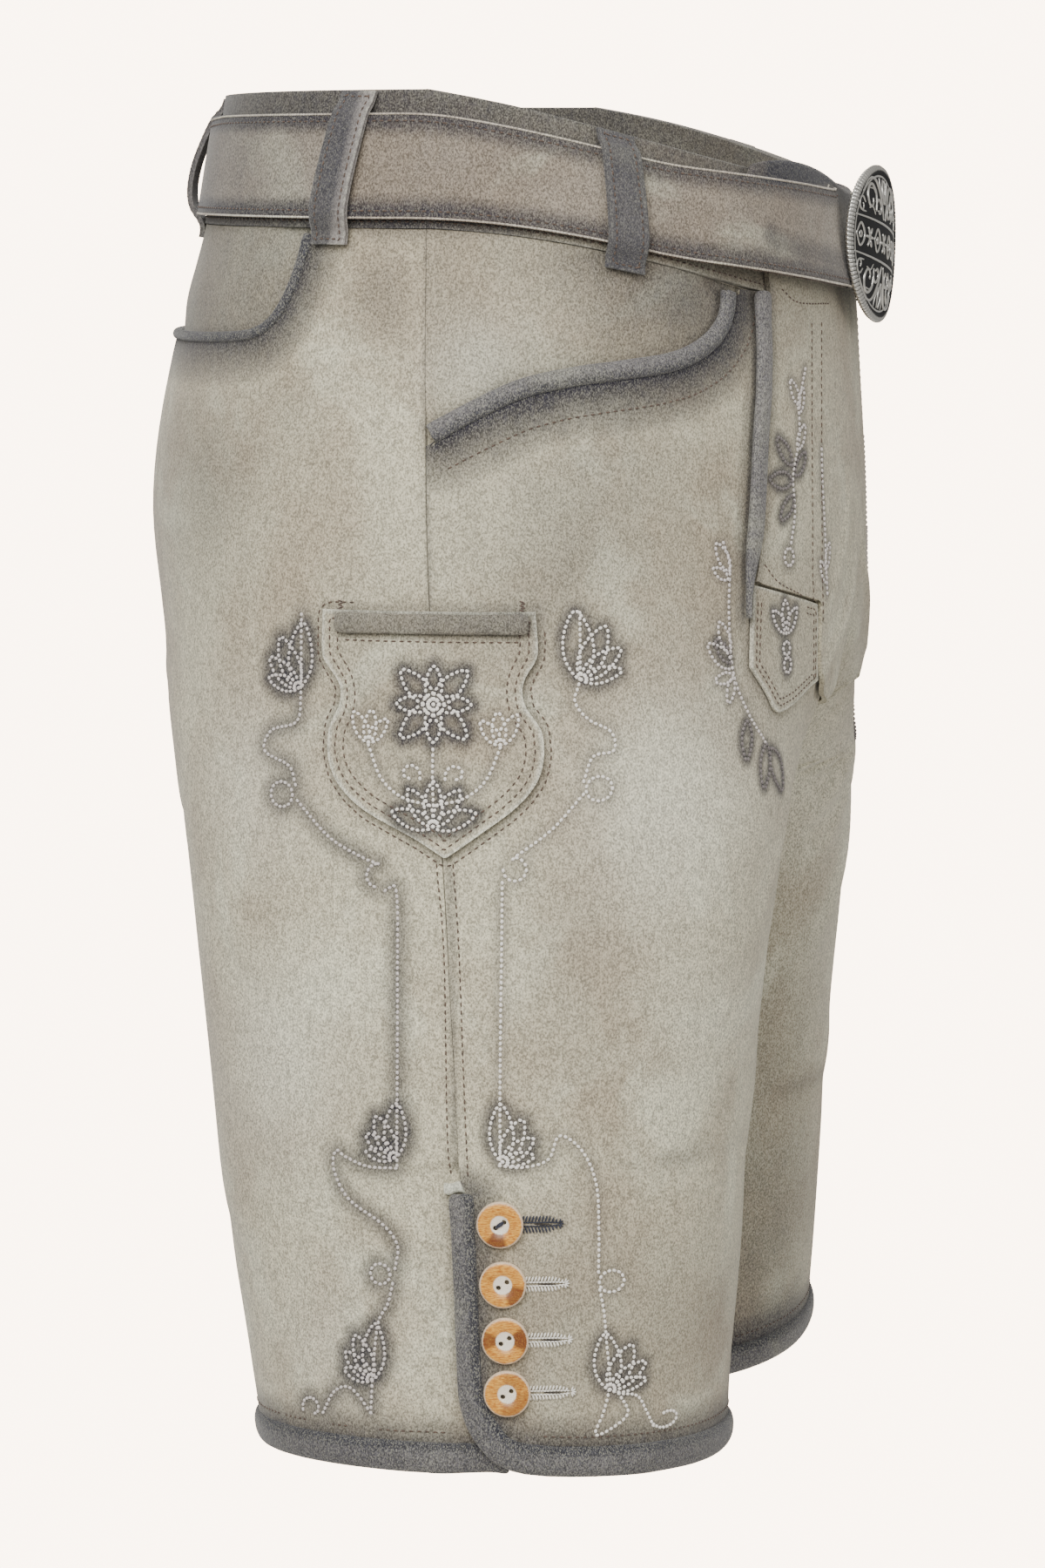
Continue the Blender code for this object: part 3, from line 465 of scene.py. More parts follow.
def even(way, step):
    """The same polyline with its points at equal steps."""
    gap = np.linalg.norm(np.diff(way, axis=0), axis=1)
    along = np.concatenate(([0], np.cumsum(gap)))
    count = max(2, int(round(along[-1] / step)) + 1)
    at = np.linspace(0, along[-1], count)
    return np.stack([np.interp(at, along, way[:, k])
                     for k in range(way.shape[1])], axis=1)


def calmed(line, times):
    """Inner points moved to the mean of themselves and their neighbours."""
    line = line.copy()
    for _ in range(times):
        line[1:-1] = (line[:-2] + line[1:-1] + line[2:]) / 3
    return line


def running_mean(values, width):
    return np.convolve(np.pad(values, width // 2, "edge"),
                       np.ones(width) / width, "valid")


def unit(v):
    """A vector, or a row of them, at length 1."""
    return v / np.maximum(np.linalg.norm(v, axis=-1, keepdims=True), 1e-9)


def ease(low, high, value):
    t = np.clip((value - low) / (high - low), 0, 1)
    return t * t * (3 - 2 * t)


def tree_of(piece_names):
    """One search tree over several cloth pieces."""
    points, faces = [], []
    for name in piece_names:
        start = len(points)
        mesh = cloth[name].data
        points += [v.co.copy() for v in mesh.vertices]
        faces += [tuple(start + i for i in p.vertices) for p in mesh.polygons]
    return BVHTree.FromPolygons(points, faces)


# %% [markdown]
# ## Edges tucked into their rolls
# Where a roll binds an edge, the leather runs on inside it.  The points along
# the cut edge are drawn a little way into the roll, so no light passes
# between the two.


# %% Tuck
def close_to(places, points, reach):
    """Which places lie in the box round the points, widened by the reach."""
    return np.all((places > points.min(0) - reach)
                  & (places < points.max(0) + reach), axis=1)


def away_from(places, points, reach):
    """Distance to the nearest of the points, or the reach if further."""
    far = np.full(len(places), float(reach))
    tree = KDTree(len(points))
    for k, point in enumerate(points):
        tree.insert(point, k)
    tree.balance()
    for k in np.nonzero(close_to(places, points, reach))[0]:
        far[k] = min(reach, tree.find(places[k])[2])
    return far


def own_edges(node, upright=True):
    """Points every mm along the sharp edges of a cut piece."""
    bm = merged(node)
    found = []
    for edge in folded(bm):
        a, b = (np.array(v.co) for v in edge.verts)
        size = edge.calc_length()
        if upright or abs(b[2] - a[2]) <= 0.6 * size:
            found += [a + (b - a) * t
                      for t in np.linspace(0, 1, max(2, int(size / MM)))]
    bm.free()
    return np.array(found)


REACH, OVERSHOOT = 3.4 * MM, 1.1 * MM  # from an edge to its roll, and into it
TUCKED = (("front_panel_", ("leg_binding_front_", "front_pocket_piping_")),
          ("back_panel_", ("leg_binding_back_", "leg_binding_front_",
                           "back_pocket_piping_")))
for panel, rolls in TUCKED:
    for side in "RL":
        mesh = cloth[panel + side].data
        places = coords(mesh)
        share = ease(2.6, 0.9, away_from(places, own_edges(panel + side),
                                         3 * MM) / MM)
        for roll in rolls:
            skin = tree_of([roll + side])
            for k in np.nonzero(share)[0]:
                spot, facing, _, off = skin.find_nearest(Vector(places[k]),
                                                         REACH)
                if spot is not None and off > 1e-6:
                    way = (np.array(spot) - places[k]) / off
                    if way @ np.array(facing) <= 0:  # not yet in the roll
                        places[k] += way * (off + OVERSHOOT) * share[k]
        put(mesh, places)
print("edges tucked in")

# %% [markdown]
# ## Folds from wearing
# Worn breeches crease where the leg bends away from the body: slanting ridges
# at the fork and groin, soft upright ones inside the thigh, shallow troughs
# above the hem and behind the knee.  Each fold is a given line with its
# own half width and height.  It pushes cloth along the direction in which the
# cloth faces, with a lower furrow on one side, and every layer near it moves
# by the same amount, so linings, rolls and facings stay where they were sewn.

# %% Folds
FOLDS = (  # points of the line, half width, height (minus for a trough)
    # groin and drop front
    (((134, 3, -176), (135, -16, -200), (131, -45, -218), (122, -64, -238)),
     5.5, 2.2),
    (((134, -12, -150), (133, -34, -183), (130, -58, -204)), 5.0, 1.5),
    (((132, 30, -214), (134, 8, -222), (128, -30, -238), (120, -60, -254)),
     5.0, 1.8),
    (((134, 6, -164), (134, 24, -190), (130, 50, -213), (121, 70, -236)),
     5.5, 1.9),
    # right leg, in front
    (((121, -78, -256), (119, -89, -283), (117, -104, -303),
      (112, -121, -325)), 7.5, 1.7),
    (((118, -66, -268), (114, -72, -298), (110, -78, -334)), 6.5, 1.5),
    (((108, -118, -384), (101, -141, -400), (86, -166, -409)), 7.0, -0.9),
    (((106, -60, -360), (110, -84, -392), (108, -108, -420)), 9.0, 1.1),
    # left leg, in front
    (((118, 96, -268), (113, 74, -286), (102, 46, -303)), 6.5, 2.6),
    (((122, 118, -250), (117, 96, -284), (106, 62, -322)), 7.0, 1.8),
    (((112, 124, -300), (106, 92, -338), (96, 58, -366)), 8.0, 1.4),
    (((104, 138, -392), (108, 108, -411), (102, 80, -422)), 9.0, 1.0),
    # right side and back of thigh
    (((3, -196, -424), (5, -196, -452), (4, -197, -486), (1, -197, -518)),
     7.0, -1.6),
    (((-96, -156, -322), (-82, -168, -341), (-62, -181, -352)), 8.0, -1.0),
    (((-98, -150, -368), (-78, -170, -388), (-55, -185, -398)), 9.0, 1.2),
    (((-110, -120, -436), (-96, -150, -452), (-70, -178, -458)), 9.0, -1.0),
    (((-118, -96, -232), (-108, -130, -246), (-90, -160, -249)), 9.0, 1.0),
    # left side and back of thigh
    (((4, 196, -430), (6, 197, -470), (2, 198, -515)), 7.5, -1.4),
    (((-94, 158, -304), (-76, 173, -322), (-58, 182, -330)), 8.0, 1.1),
    (((-102, 144, -376), (-80, 168, -392), (-50, 187, -404)), 8.5, -1.1),
    (((-112, 112, -448), (-98, 148, -462), (-74, 176, -470)), 9.0, 1.0),
    # seat and inside of the legs
    (((-140, -24, -206), (-134, -58, -224), (-122, -92, -230)), 8.0, 1.6),
    (((-138, -14, -228), (-130, -48, -252), (-118, -76, -262)), 7.0, 1.4),
    (((-140, 30, -200), (-132, 64, -220), (-118, 98, -226)), 8.0, 1.4),
    (((-137, 16, -232), (-129, 52, -250), (-116, 84, -256)), 7.0, 1.5),
    (((-60, -22, -292), (-20, -18, -306), (30, -18, -302)), 8.0, 1.3),
    (((-56, 22, -298), (-14, 18, -312), (34, 18, -300)), 8.0, 1.2),
)
STEADY = [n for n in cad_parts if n.startswith(("button", "buckle"))]
CALM_ROUND = 14 * MM  # cloth keeps still this near to them
FURROW, FURROW_OFF, FURROW_WIDE = 0.45, 1.7, 1.2  # as shares of the fold


def quiet_near(places):
    """0 beside the hard fittings and the belt, 1 away from them."""
    keep = ease(-62, -92, places[:, 2] / MM)
    for node in STEADY:
        low, high = (np.array(v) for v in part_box(node))
        off = np.linalg.norm(places - (low + high) / 2, axis=1) \
            - np.linalg.norm(high - low) / 2
        keep = keep * ease(0, CALM_ROUND, off)
    return keep


def fold_push(places, line, facing, half, height):
    """How far one fold carries each of the places."""
    push = np.zeros_like(places)
    near = close_to(places, line, 4 * half * MM)
    if not near.any():
        return push
    some = places[near]
    off = some[:, None, :] - line[None]
    nearest = np.argmin((off ** 2).sum(2), axis=1)
    off = off[np.arange(len(some)), nearest] / MM
    run = unit(np.gradient(line, axis=0))[nearest]
    out = facing[nearest]
    across = (off * np.cross(out, run)).sum(1)
    deep = (off * out).sum(1)
    beyond = np.abs((off * run).sum(1))
    share = nearest / (len(line) - 1)
    swell = np.sin(np.pi * np.clip(share, 0.02, 0.98)) ** 0.8
    shape = np.exp(-(across / half) ** 2) - FURROW * np.exp(
        -((across / half - FURROW_OFF) / FURROW_WIDE) ** 2)
    shape *= swell * ease(20, 8, np.abs(deep)) * ease(12, 0, beyond)
    push[near] = out * (shape * height * MM)[:, None]
    return push


walls = tree_of([n for n in cloth if "panel" in n or n == "flap"])
ready_folds = []
for points, half, height in FOLDS:
    line = smooth_way(np.array(points) * MM, 3 * MM)
    facing = []
    for k, place in enumerate(line):
        spot, normal, _, _ = walls.find_nearest(Vector(place))
        leg = 0 if abs(spot.y) < 0.02 else spot.y - math.copysign(0.09, spot.y)
        away = Vector((spot.x, leg, 0))
        facing.append(normal if normal.dot(away) > 0 else -normal)
        line[k] = spot
    ready_folds.append((line, unit(calmed(np.array(facing), 6)), half, height))


def sway(places):
    """Very soft waves all over the legs and seat, a fraction of a mm high."""
    x, y, z = places.T / MM
    leg = np.where(y < 0, -1.0, 1.0)
    out = unit(np.stack((x / 130, (y - 95 * leg) / 100, 0 * z), axis=1))
    wave = (np.sin(x / 23 + 1.3 * leg + z / 37) * np.sin(z / 29 + y / 31)
            + 0.6 * np.sin(z / 17 - x / 31 + 0.7 * leg))
    calm = ease(6, 40, np.abs(y)) * ease(-90, -170, z) * ease(-540, -490, z)
    return out * (0.5 * wave * calm * MM)[:, None]


for piece in cloth.values():
    places = coords(piece.data)
    moved = sway(places)
    for fold in ready_folds:
        moved += fold_push(places, *fold)
    put(piece.data, places + moved * quiet_near(places)[:, None])
print("folds:", len(FOLDS))

# %% [markdown]
# ## Closing the side seam, pressing the welt
# Just above each leg slit the front panel's edge leans away from the seam to
# make room for the roll.  Sewn leather meets edge to edge down to the slit,
# so there the edge is drawn back to the seam line.  The welt of the back seam
# is pressed onto the seat, so that no light passes below it.

# %% Side seam and welt
SEAM = np.array((  # level, how far the edge stands off, where it lies
    (-417, 0.0, 15.6), (-412, 3.9, 16.517), (-411, 3.667, 16.7),
    (-406, 2.5, 14.8), (-400, 1.6, 13.6), (-390, 1.0, 12.5),
    (-380, 0.6, 11.6), (-362, 0.0, 10.2)))
WELT = np.array((  # level, how far the welt is pressed in
    (-156, 1.3), (-150, 1.15), (-140, 0.6), (-130, 0.5), (-120, 0.1),
    (-110, 0.0)))
for side in "RL":
    panel = cloth["front_panel_" + side].data
    places = coords(panel)
    x, y, z = places.T / MM
    shift, edge = (np.interp(z, SEAM[:, 0], SEAM[:, k]) for k in (1, 2))
    near = ease(edge + 14, edge + 0.6, x) * (np.abs(y) > 150)
    places[:, 0] -= shift * near * MM
    put(panel, places)
welt = cloth["back_seam_welt"].data
places = coords(welt)
places[:, 0] += np.interp(places[:, 2] / MM, *WELT.T) * MM
put(welt, places)

# %% [markdown]
# ## Finding the cut edges
# A seam runs at an even distance from an edge.  The outline of a piece's
# outer skin is found on its cut shape: faces are gathered until a sharp fold
# stops them, and the border of the outer group is walked in order.  A row of
# stitches is then a stretch of that border, moved inwards and laid on the
# finished cloth.


# %% Outlines
def outer_skin(bm, middle):
    """The faces of the one of the two large skins that looks outwards."""
    stops, left, groups = set(folded(bm)), set(bm.faces), []
    for first in bm.faces:
        if first in left:
            left.discard(first)
            group = [first]
            for face in group:  # it grows while it is read
                for edge in face.edges:
                    if edge not in stops:
                        new = [f for f in edge.link_faces if f in left]
                        left.difference_update(new)
                        group += new
            groups.append(group)
    groups.sort(key=lambda g: -sum(f.calc_area() for f in g))

    def openness(group):
        spots = [(f, f.calc_center_median()) for f in group]
        return sum(f.calc_area() * (f.normal.x * c.x + f.normal.y
                                    * (c.y - middle)) for f, c in spots)
    return set(max(groups[:2], key=openness))


def outline(node):
    """Border of the outer skin, in order, with the way to its inside."""
    bm = merged(node)
    outer = outer_skin(bm, middle_of(node))
    follow = {}
    for face in bm.faces:
        for loop in face.loops if face in outer else ():
            if not any(f in outer for f in loop.edge.link_faces
                       if f is not face):
                follow[loop.vert] = (loop.link_loop_next.vert, face.normal)
    rings = []
    while follow:
        here = next(iter(follow))
        ring = []
        while here in follow:
            onward, normal = follow.pop(here)
            ring.append([np.array(v) for v in (here.co, onward.co, normal)])
            here = onward
        rings.append(ring)
    bm.free()
    places, inwards = [], []
    for start, end, normal in max(rings, key=len):
        run = end - start
        size = np.linalg.norm(run)
        for k in np.linspace(0, 1, max(2, int(size / MM)), endpoint=False):
            places.append(start + run * k)
            inwards.append(np.cross(normal, run / max(size, 1e-9)))
    return np.array(places), np.array(inwards)


def stretch(node, start, end, via):
    """The part of an outline from start to end that passes near via."""
    places, inwards = outline(node)
    i, j, k = [int(np.argmin(((places - np.array(p) * MM) ** 2).sum(1)))
               for p in (start, end, via)]
    count = len(places)
    forward = (k - i) % count <= (j - i) % count
    size = (j - i) % count if forward else (i - j) % count
    order = [(i + s if forward else i - s) % count for s in range(size + 1)]
    return places[order], inwards[order]


def inset(node, start, end, via, gap):
    """A line at a fixed distance inside a stretch of an outline."""
    places, inwards = stretch(node, start, end, via)
    width = max(1, int(gap))
    return calmed(places + unit(calmed(inwards, 3 * width)) * gap * MM,
                  2 * width)


skins = {name: tree_of([name]) for name in cloth}


def laid(line, names, step):
    """Points of a line settled on cloth: places and their normals."""
    found, facing = [], []
    for place in even(np.asarray(line), step * MM):
        near = [skins[name].find_nearest(Vector(place)) for name in names]
        spot, normal, _, _ = min(near, key=lambda hit: hit[3])
        found.append(np.array(spot))
        facing.append(np.array(normal))
    return np.array(found), np.array(facing)


# %% [markdown]
# ## Rows of machine stitching
# Every seam that shows is topstitched in brown thread.  Most rows follow a
# cut edge at a fixed distance; the others are drawn on a flat card, as a
# pattern cutter would, and pressed straight onto the leather.  A row is kept
# as points with the direction in which the leather faces there.

# %% Cards and rows
CARDS = {  # the way a design card faces, and its own sideways direction
    "side": ((0, -1, 0), (1, 0, 0)),
    "quarter": ((0.643, -0.766, 0), (0.766, 0.643, 0)),
    "front": ((1, 0, 0), (0, 1, 0)),
    "back": ((-1, 0, 0), (0, -1, 0))}


CARD_OFF = 0.5  # m from a card to the middle of the garment


def turned(point, side):
    return (point[0], point[1] if side == "R" else -point[1], point[2])


def of_side(names, side):
    return [n.format(side) for n in names]


def pressed(card, curve, side, names, step, closed=False):
    """A flat curve laid on cloth: its places and the cloth's normals."""
    facing, right = (np.array(turned(v, side), float) for v in CARDS[card])
    way = []
    for u, v in smooth_way(curve, 1.0, closed):
        start = Vector(facing * CARD_OFF + MM * (right * u + (0, 0, v)))
        hits = [skins[name].ray_cast(start, Vector(-facing)) for name in names]
        hits = [hit for hit in hits if hit[0] is not None]
        if hits:
            way.append(min(hits, key=lambda hit: hit[3])[0])
    return laid(way, names, step)


def far_ends(node):
    """The lower and upper end of a long piece, and its middle, in mm."""
    places = coords(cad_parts[node].data)
    middle = places.mean(0)
    start = places[np.argmax(((places - middle) ** 2).sum(1))]
    end = places[np.argmax(((places - start) ** 2).sum(1))]
    if start[2] > end[2]:
        start, end = end, start
    return start / MM, end / MM, middle / MM


PITCH = 3.1
LEG = ("front_panel_{}", "back_panel_{}")
SHIELD = ((-33, -190, -204), (33, -190, -204), (6, -196, -286))
HEM = -540
EDGE_ROWS = (  # piece, (from, to, passing), gaps from the edge, laid on
    ("knife_pocket", SHIELD, (3.0, 6.4), ("knife_pocket",)),
    ("knife_pocket", SHIELD, (-3.4,), ("front_panel_R", "back_panel_R")),
    ("flap_corner_{}", ((112, -112, -197), (119, -98, -240),
                        (110, -118, -215)), (2.6, 5.0), ("flap_corner_{}",)),
    ("flap_corner_{}", ((119, -98, -240), (126, -76, -205),
                        (122, -86, -226)), (2.6, 5.0), ("flap_corner_{}",)),
    ("front_panel_{}", ((38, -196, HEM), (40, -12, HEM), (118, -110, HEM)),
     (3.6,), ("front_panel_{}",)),
    ("back_panel_{}", ((6, -197, HEM), (-20, -12, HEM), (-110, -110, HEM)),
     (3.6,), ("back_panel_{}",)))
CARD_ROWS = (  # card, curve, laid on
    ("side", ((3, -291), (6.2, -326), (7.8, -392), (8.6, -408)), LEG),
    ("side", ((9.4, -291), (12, -326), (15.0, -392), (15.8, -408)), LEG),
    ("front", ((-61, -90), (-67, -134), (-72, -184), (-72, -206)), ("flap",)),
    ("front", ((-50, -90), (-57, -134), (-62, -184), (-63, -206)), ("flap",)),
    ("front", ((-72, -208), (-72, -229)), LEG),
    ("front", ((-108, -182), (-100, -189), (-83, -195)), ("flap",)),
    ("front", ((-84, -76), (-72, -81), (-40, -82)), ("flap",)),
    ("back", ((6.4, -98), (6.4, -125), (6.0, -152)), LEG))
rows = {}  # piece of sewing -> list of (places, normals)


def keep_row(name, row):
    rows.setdefault(name, []).append(row)


for node, (start, end, via), gaps, names in EDGE_ROWS:
    for side in sides_of(node):
        for gap in gaps:
            line = inset(node.format(side), turned(start, side),
                         turned(end, side), turned(via, side), gap)
            keep_row("seams_" + side, laid(line, of_side(names, side), PITCH))
for side in "RL":
    for card, curve, names in CARD_ROWS:
        keep_row("seams_" + side,
                 pressed(card, curve, side, of_side(names, side), PITCH))
    line = inset("front_panel_" + side,
                 *far_ends("front_pocket_piping_" + side), 11.0)
    keep_row("seams_" + side, laid(line, ["front_panel_" + side], PITCH))
keep_row("seams_R", pressed("side", ((-33, -206.6), (32, -206.6)), "R",
                            ("knife_pocket",), PITCH))


OUTSIDE, MISSED = 0.3, 999  # where a line starts, in m; no strap on it
PAST_EDGE, OFF_FACE, NEAR_STRAP = 28, 3.5, 240  # mm


def strap_hit(at, level):
    """Where a level line from outside first meets the strap, and how far."""
    out = Vector((math.cos(at), math.sin(at), 0))
    start = out * OUTSIDE + Vector((0, 0, level * MM))
    spot, _, _, far = skins["belt_strap"].ray_cast(start, -out)
    return spot, MISSED if spot is None else far / MM


strap_edges = own_edges("belt_strap", False) / MM
strap_turn = np.arctan2(strap_edges[:, 1], strap_edges[:, 0])
turns = np.radians(np.arange(13, 347, 0.25))
middle = []
for at in turns:
    off = np.abs((strap_turn - at + np.pi) % (2 * np.pi) - np.pi)
    some = strap_edges[off < np.radians(2.5), 2]
    middle.append((some.min() + some.max()) / 2)
middle = running_mean(middle, 41)


def belt_row(upper, gap, step):
    """A row beside one edge of the strap, from buckle round to buckle."""
    up = 1 if upper else -1
    ends = []
    for at, level in zip(turns, middle):
        base = strap_hit(at, level)[1]
        good, bad = level, level + PAST_EDGE * up
        for _ in range(9):
            test = (good + bad) / 2
            if strap_hit(at, test)[1] < base + OFF_FACE:
                good = test
            else:
                bad = test
        ends.append(good)
    spots = [strap_hit(at, end - gap * up)
             for at, end in zip(turns, running_mean(ends, 13))]
    way = [spot for spot, far in spots if far < NEAR_STRAP]
    return laid(way, ["belt_strap"], step)


for upper in True, False:
    keep_row("belt_seams", belt_row(upper, 3.2, PITCH))
    keep_row("belt_edges", belt_row(upper, 0.6, 1.5))
line = inset("waistband", (120, -50, -72), (120, 50, -72), (-150, 0, -60), 2.4)
keep_row("waist_seams", laid(line, ["waistband"], PITCH))
for side in "RL":
    for loop in "front", "side", "back":
        node = "belt_loop_%s_%s" % (loop, side)
        ring, inwards = outline(node)
        line = ring + inwards * 2.0 * MM
        for _ in range(3):
            line = (np.roll(line, 1, 0) + line + np.roll(line, -1, 0)) / 3
        keep_row("loop_seams", laid(line, [node], 2.8))
print("stitch rows:", {k: len(v) for k, v in rows.items()})

# %% [markdown]
# ## Embroidery
# Each leg carries two vines, in front of and behind the side seam, with leaf
# fans, small rings and a long straight run beside the seam; a third climbs
# the thigh beside the drop front, and the drop front has a leaf chain.  They
# are drawn as curves on cards from four motifs: leaf, fan, ring and curl.
# The knife pocket gets a plain alpine flower over leaves and two scrolls.
# Each line also says how strongly dye was sprayed over it.


# %% Motifs
def leaves(*each):
    """Pointed leaves as closed curves: foot, size, angle, plumpness."""
    made = []
    for x, y, size, angle, *more in each:
        c, s = spoke(angle)
        p = more[0] if more else 0.19
        shape = ((0, 0), (0.3, p), (0.68, p * 0.95), (1, 0),
                 (0.68, -p * 0.9), (0.3, -p))
        made.append(([(x + size * (a * c - b * s), y + size * (a * s + b * c))
                      for a, b in shape], True))
    return made


def fan(x, y, size, first, turn, count=4, shrink=0.82):
    """Leaves that spread from one foot, each shorter than the last."""
    return leaves(*[(x, y, size * shrink ** k, first + turn * k)
                    for k in range(count)])


def ring(x, y, r):
    return [([(x + r * math.cos(a), y + r * math.sin(a))
              for a in np.linspace(0, 2 * math.pi, 8, endpoint=False)], True)]


def curl(x, y, large, small, start, end):
    """A spiral about a point, between two sizes and two angles."""
    made = []
    for t in np.linspace(0, 1, 9):
        c, s = spoke(start + (end - start) * t)
        r = large + (small - large) * t
        made.append((x + r * c, y + r * s))
    return [(made, False)]


def vine(*points):
    return [(list(points), False)]


def chain(*parts):
    return [line for part in parts for line in part]


# %% The design
FRONT_VINE = chain(
    vine((54, -196), (54.5, -220), (53, -229), (58, -236), (66, -241),
         (67, -248), (60, -250), (57, -259)),
    ring(62.5, -262, 4.6),
    vine((57, -264), (46, -277), (33, -287), (32, -288)),
    curl(32.5, -292, 4.6, 4.2, 80, -175),
    vine((28, -297), (28, -330), (28, -370), (28, -404)),
    vine((28, -404.5), (37, -405), (46, -402), (50, -393), (58, -399),
         (63, -412), (64, -430), (64, -446)),
    ring(68.5, -450, 4.2),
    vine((64.5, -453), (66, -462), (67, -475), (68, -489), (66, -500),
         (63, -509), (69, -507), (74, -502), (71, -494)),
    vine((71, -494), (77, -496), (80, -503), (82, -509)),
    curl(86, -507, 4.2, 2.2, 200, 470))
FRONT_FANS = chain(fan(55, -221, 26, 96, -28), fan(29, -403, 22, 92, -27),
                   fan(68, -492, 22, 94, -28))
BACK_VINE = chain(
    vine((-53, -198), (-53, -229), (-55, -239), (-66, -243), (-69, -251),
         (-58, -256), (-55, -263)),
    ring(-61, -267, 4.8),
    vine((-54, -269), (-40, -282), (-26, -289), (-20, -291)),
    curl(-20, -296, 5.0, 4.0, 100, 250),
    vine((-17, -301), (-12.5, -302), (-12, -340), (-12, -406)),
    vine((-12.5, -407), (-24, -407), (-33, -404), (-37, -402), (-38, -409),
         (-32, -420), (-18, -429), (-12, -437), (-13, -446)),
    ring(-19, -448.5, 4.0),
    vine((-14, -452), (-16, -460), (-20, -468), (-22, -486), (-23, -503)),
    vine((-23, -503), (-28, -497), (-33, -494), (-39, -497), (-44, -506)),
    curl(-49, -505, 4.8, 2.4, 200, -60))
BACK_FANS = chain(fan(-54, -226, 25, 86, 27), fan(-13, -403, 21, 88, 28),
                  fan(-22.5, -490, 22, 86, 27))
THIGH_VINE = chain(
    vine((-4, -172), (-1, -181), (-2.4, -200), (-1.6, -222), (6, -238),
         (16, -250)),
    leaves((-1, -183, 13, 122), (-2, -186, 9, 150), (-3, -214, 13, 112),
           (-2, -220, 16, 142), (-2, -223, 10, 188), (-2, -224, 10, 250)))
THIGH_DARK = leaves((-3, -218, 12, 128), (5, -241, 15, -97),
                    (17, -251, 17, -102), (20, -253, 20, -62))
FLAP_CHAIN = chain(
    vine((-70, -107), (-77, -120), (-79, -134), (-86, -148), (-86, -162),
         (-90, -174)),
    ring(-92, -179.5, 3.4),
    leaves((-77, -121, 12, 122), (-78, -124, 11, 62), (-81, -138, 12, 50)),
    vine((-58, -139), (-58.6, -154), (-58, -172), (-58, -196)),
    leaves((-58, -186, 11, 62), (-58, -192, 11, 124)))
FLAP_DARK = leaves((-86, -144, 15, 132), (-87, -150, 16, 176),
                   (-86, -156, 14, 218), (-84, -148, 13, 40))
PATCH_FLOWER = chain(fan(-95, -209, 13, 134, -44, 3, 1.0),
                     ring(-95, -215, 2.6), ring(-94.5, -221.5, 3.0))
STAR = leaves(*[(1.5, -230, 18 if k % 2 else 14.5, 90 + 45 * k, 0.2)
                for k in range(8)])
POCKET_MOTIF = chain(
    ring(1.5, -230, 4.0), ring(1.5, -230, 2.2),
    vine((1.5, -247), (1.5, -258), (2, -268)),
    vine((3, -268), (14, -265), (22, -258), (27, -246)),
    vine((0, -268), (-11, -265), (-19, -258), (-24, -246)),
    curl(10.5, -256.5, 4.4, 1.6, 200, -80),
    curl(-7.5, -256.5, 4.4, 1.6, -20, 260),
    fan(27, -245, 13, 62, 34, 3, 0.95), fan(-24, -245, 13, 118, -34, 3, 0.95))
POCKET_LEAVES = fan(2, -276, 17, 162, -36, 5, 1.0)
DESIGN = (  # card, lines, laid on, thread, strength and reach of the dye
    ("side", FRONT_VINE, LEG, "pale", 0.40, 4.5),
    ("side", FRONT_FANS, LEG, "pale", 0.80, 5.0),
    ("side", BACK_VINE, LEG, "dull", 0.66, 6.5),
    ("side", BACK_FANS, LEG, "dull", 0.98, 6.0),
    ("quarter", THIGH_VINE, LEG, "dull", 0.55, 3.5),
    ("quarter", THIGH_DARK, LEG, "dark", 0.85, 4.0),
    ("front", FLAP_CHAIN, ("flap",), "dull", 0.60, 4.5),
    ("front", FLAP_DARK, ("flap",), "dark", 0.85, 4.0),
    ("front", PATCH_FLOWER, ("flap_corner_{}",), "dull", 0.85, 4.5),
    ("side", vine((-6, -58), (-5, -105), (-3, -150), (-1, -192)), LEG, None,
     0.45, 2.4),
    ("side", vine((8, -292), (9.6, -340), (11, -406)), LEG, None, 0.45, 2.6))
POCKET_DESIGN = (
    ("side", POCKET_MOTIF, ("knife_pocket",), "pale", 0.50, 4.5),
    ("side", STAR, ("knife_pocket",), "pale", 0.92, 5.5),
    ("side", POCKET_LEAVES, ("knife_pocket",), "pale", 0.88, 5.0))
BEAD = 2.1
threads = {}  # (thread, side) -> rows of beads
sprayed = []  # (places, strength, reach)
for side in "RL":
    for card, lines, names, thread, strength, reach in \
            DESIGN + (POCKET_DESIGN if side == "R" else ()):
        for curve, closed in lines:
            row = pressed(card, curve, side, of_side(names, side), BEAD,
                          closed)
            if thread:
                threads.setdefault((thread, side), []).append(row)
            sprayed.append((row[0], strength, reach))
print("embroidered lines:", sum(len(v) for v in threads.values()))

# %% [markdown]
# ## Smoke, painted shade, rubbed edges and raw leather
# The dye is sprayed after sewing, so it gathers beside rolls and round the
# embroidery.  Painted shade is added to the same values under the belt, round
# the belt loops, in thin lines beside the flap's binding, the knife pocket and
# the flap's corners, and inside the legs; a painted highlight takes dye off
# the crests of the rolls and the front half of the side loops.  For each piece
# the distance to such a line gives the strength of the dye at each point; cut
# edges are rubbed pale by their distance to the piece's own edge.

# %% Dye, painted shade and wear
BASE_DUSK = {"waistband": 0.88, "belt_strap": 0.34, "knife_pocket": 0.06,
             "flap": 0.02, "leg_binding": 0.88, "front_pocket_piping": 0.82,
             "back_pocket_piping": 0.86, "flap_binding": 0.72,
             "knife_pocket_band": 0.62, "back_seam_welt": 0.7,
             "belt_loop_front": 0.8, "belt_loop_side": 0.82,
             "belt_loop_back": 0.6, "back_pocket_facing": 0.56,
             "front_pocket_facing": 0.2}
places_of = {n: coords(p.data) for n, p in cloth.items()}
dusk, rub, raw = ({n: np.zeros(len(p)) for n, p in places_of.items()}
                  for _ in range(3))
for name in cloth:
    for start in sorted(BASE_DUSK, key=len):
        if name.startswith(start):
            dusk[name][:] = BASE_DUSK[start]


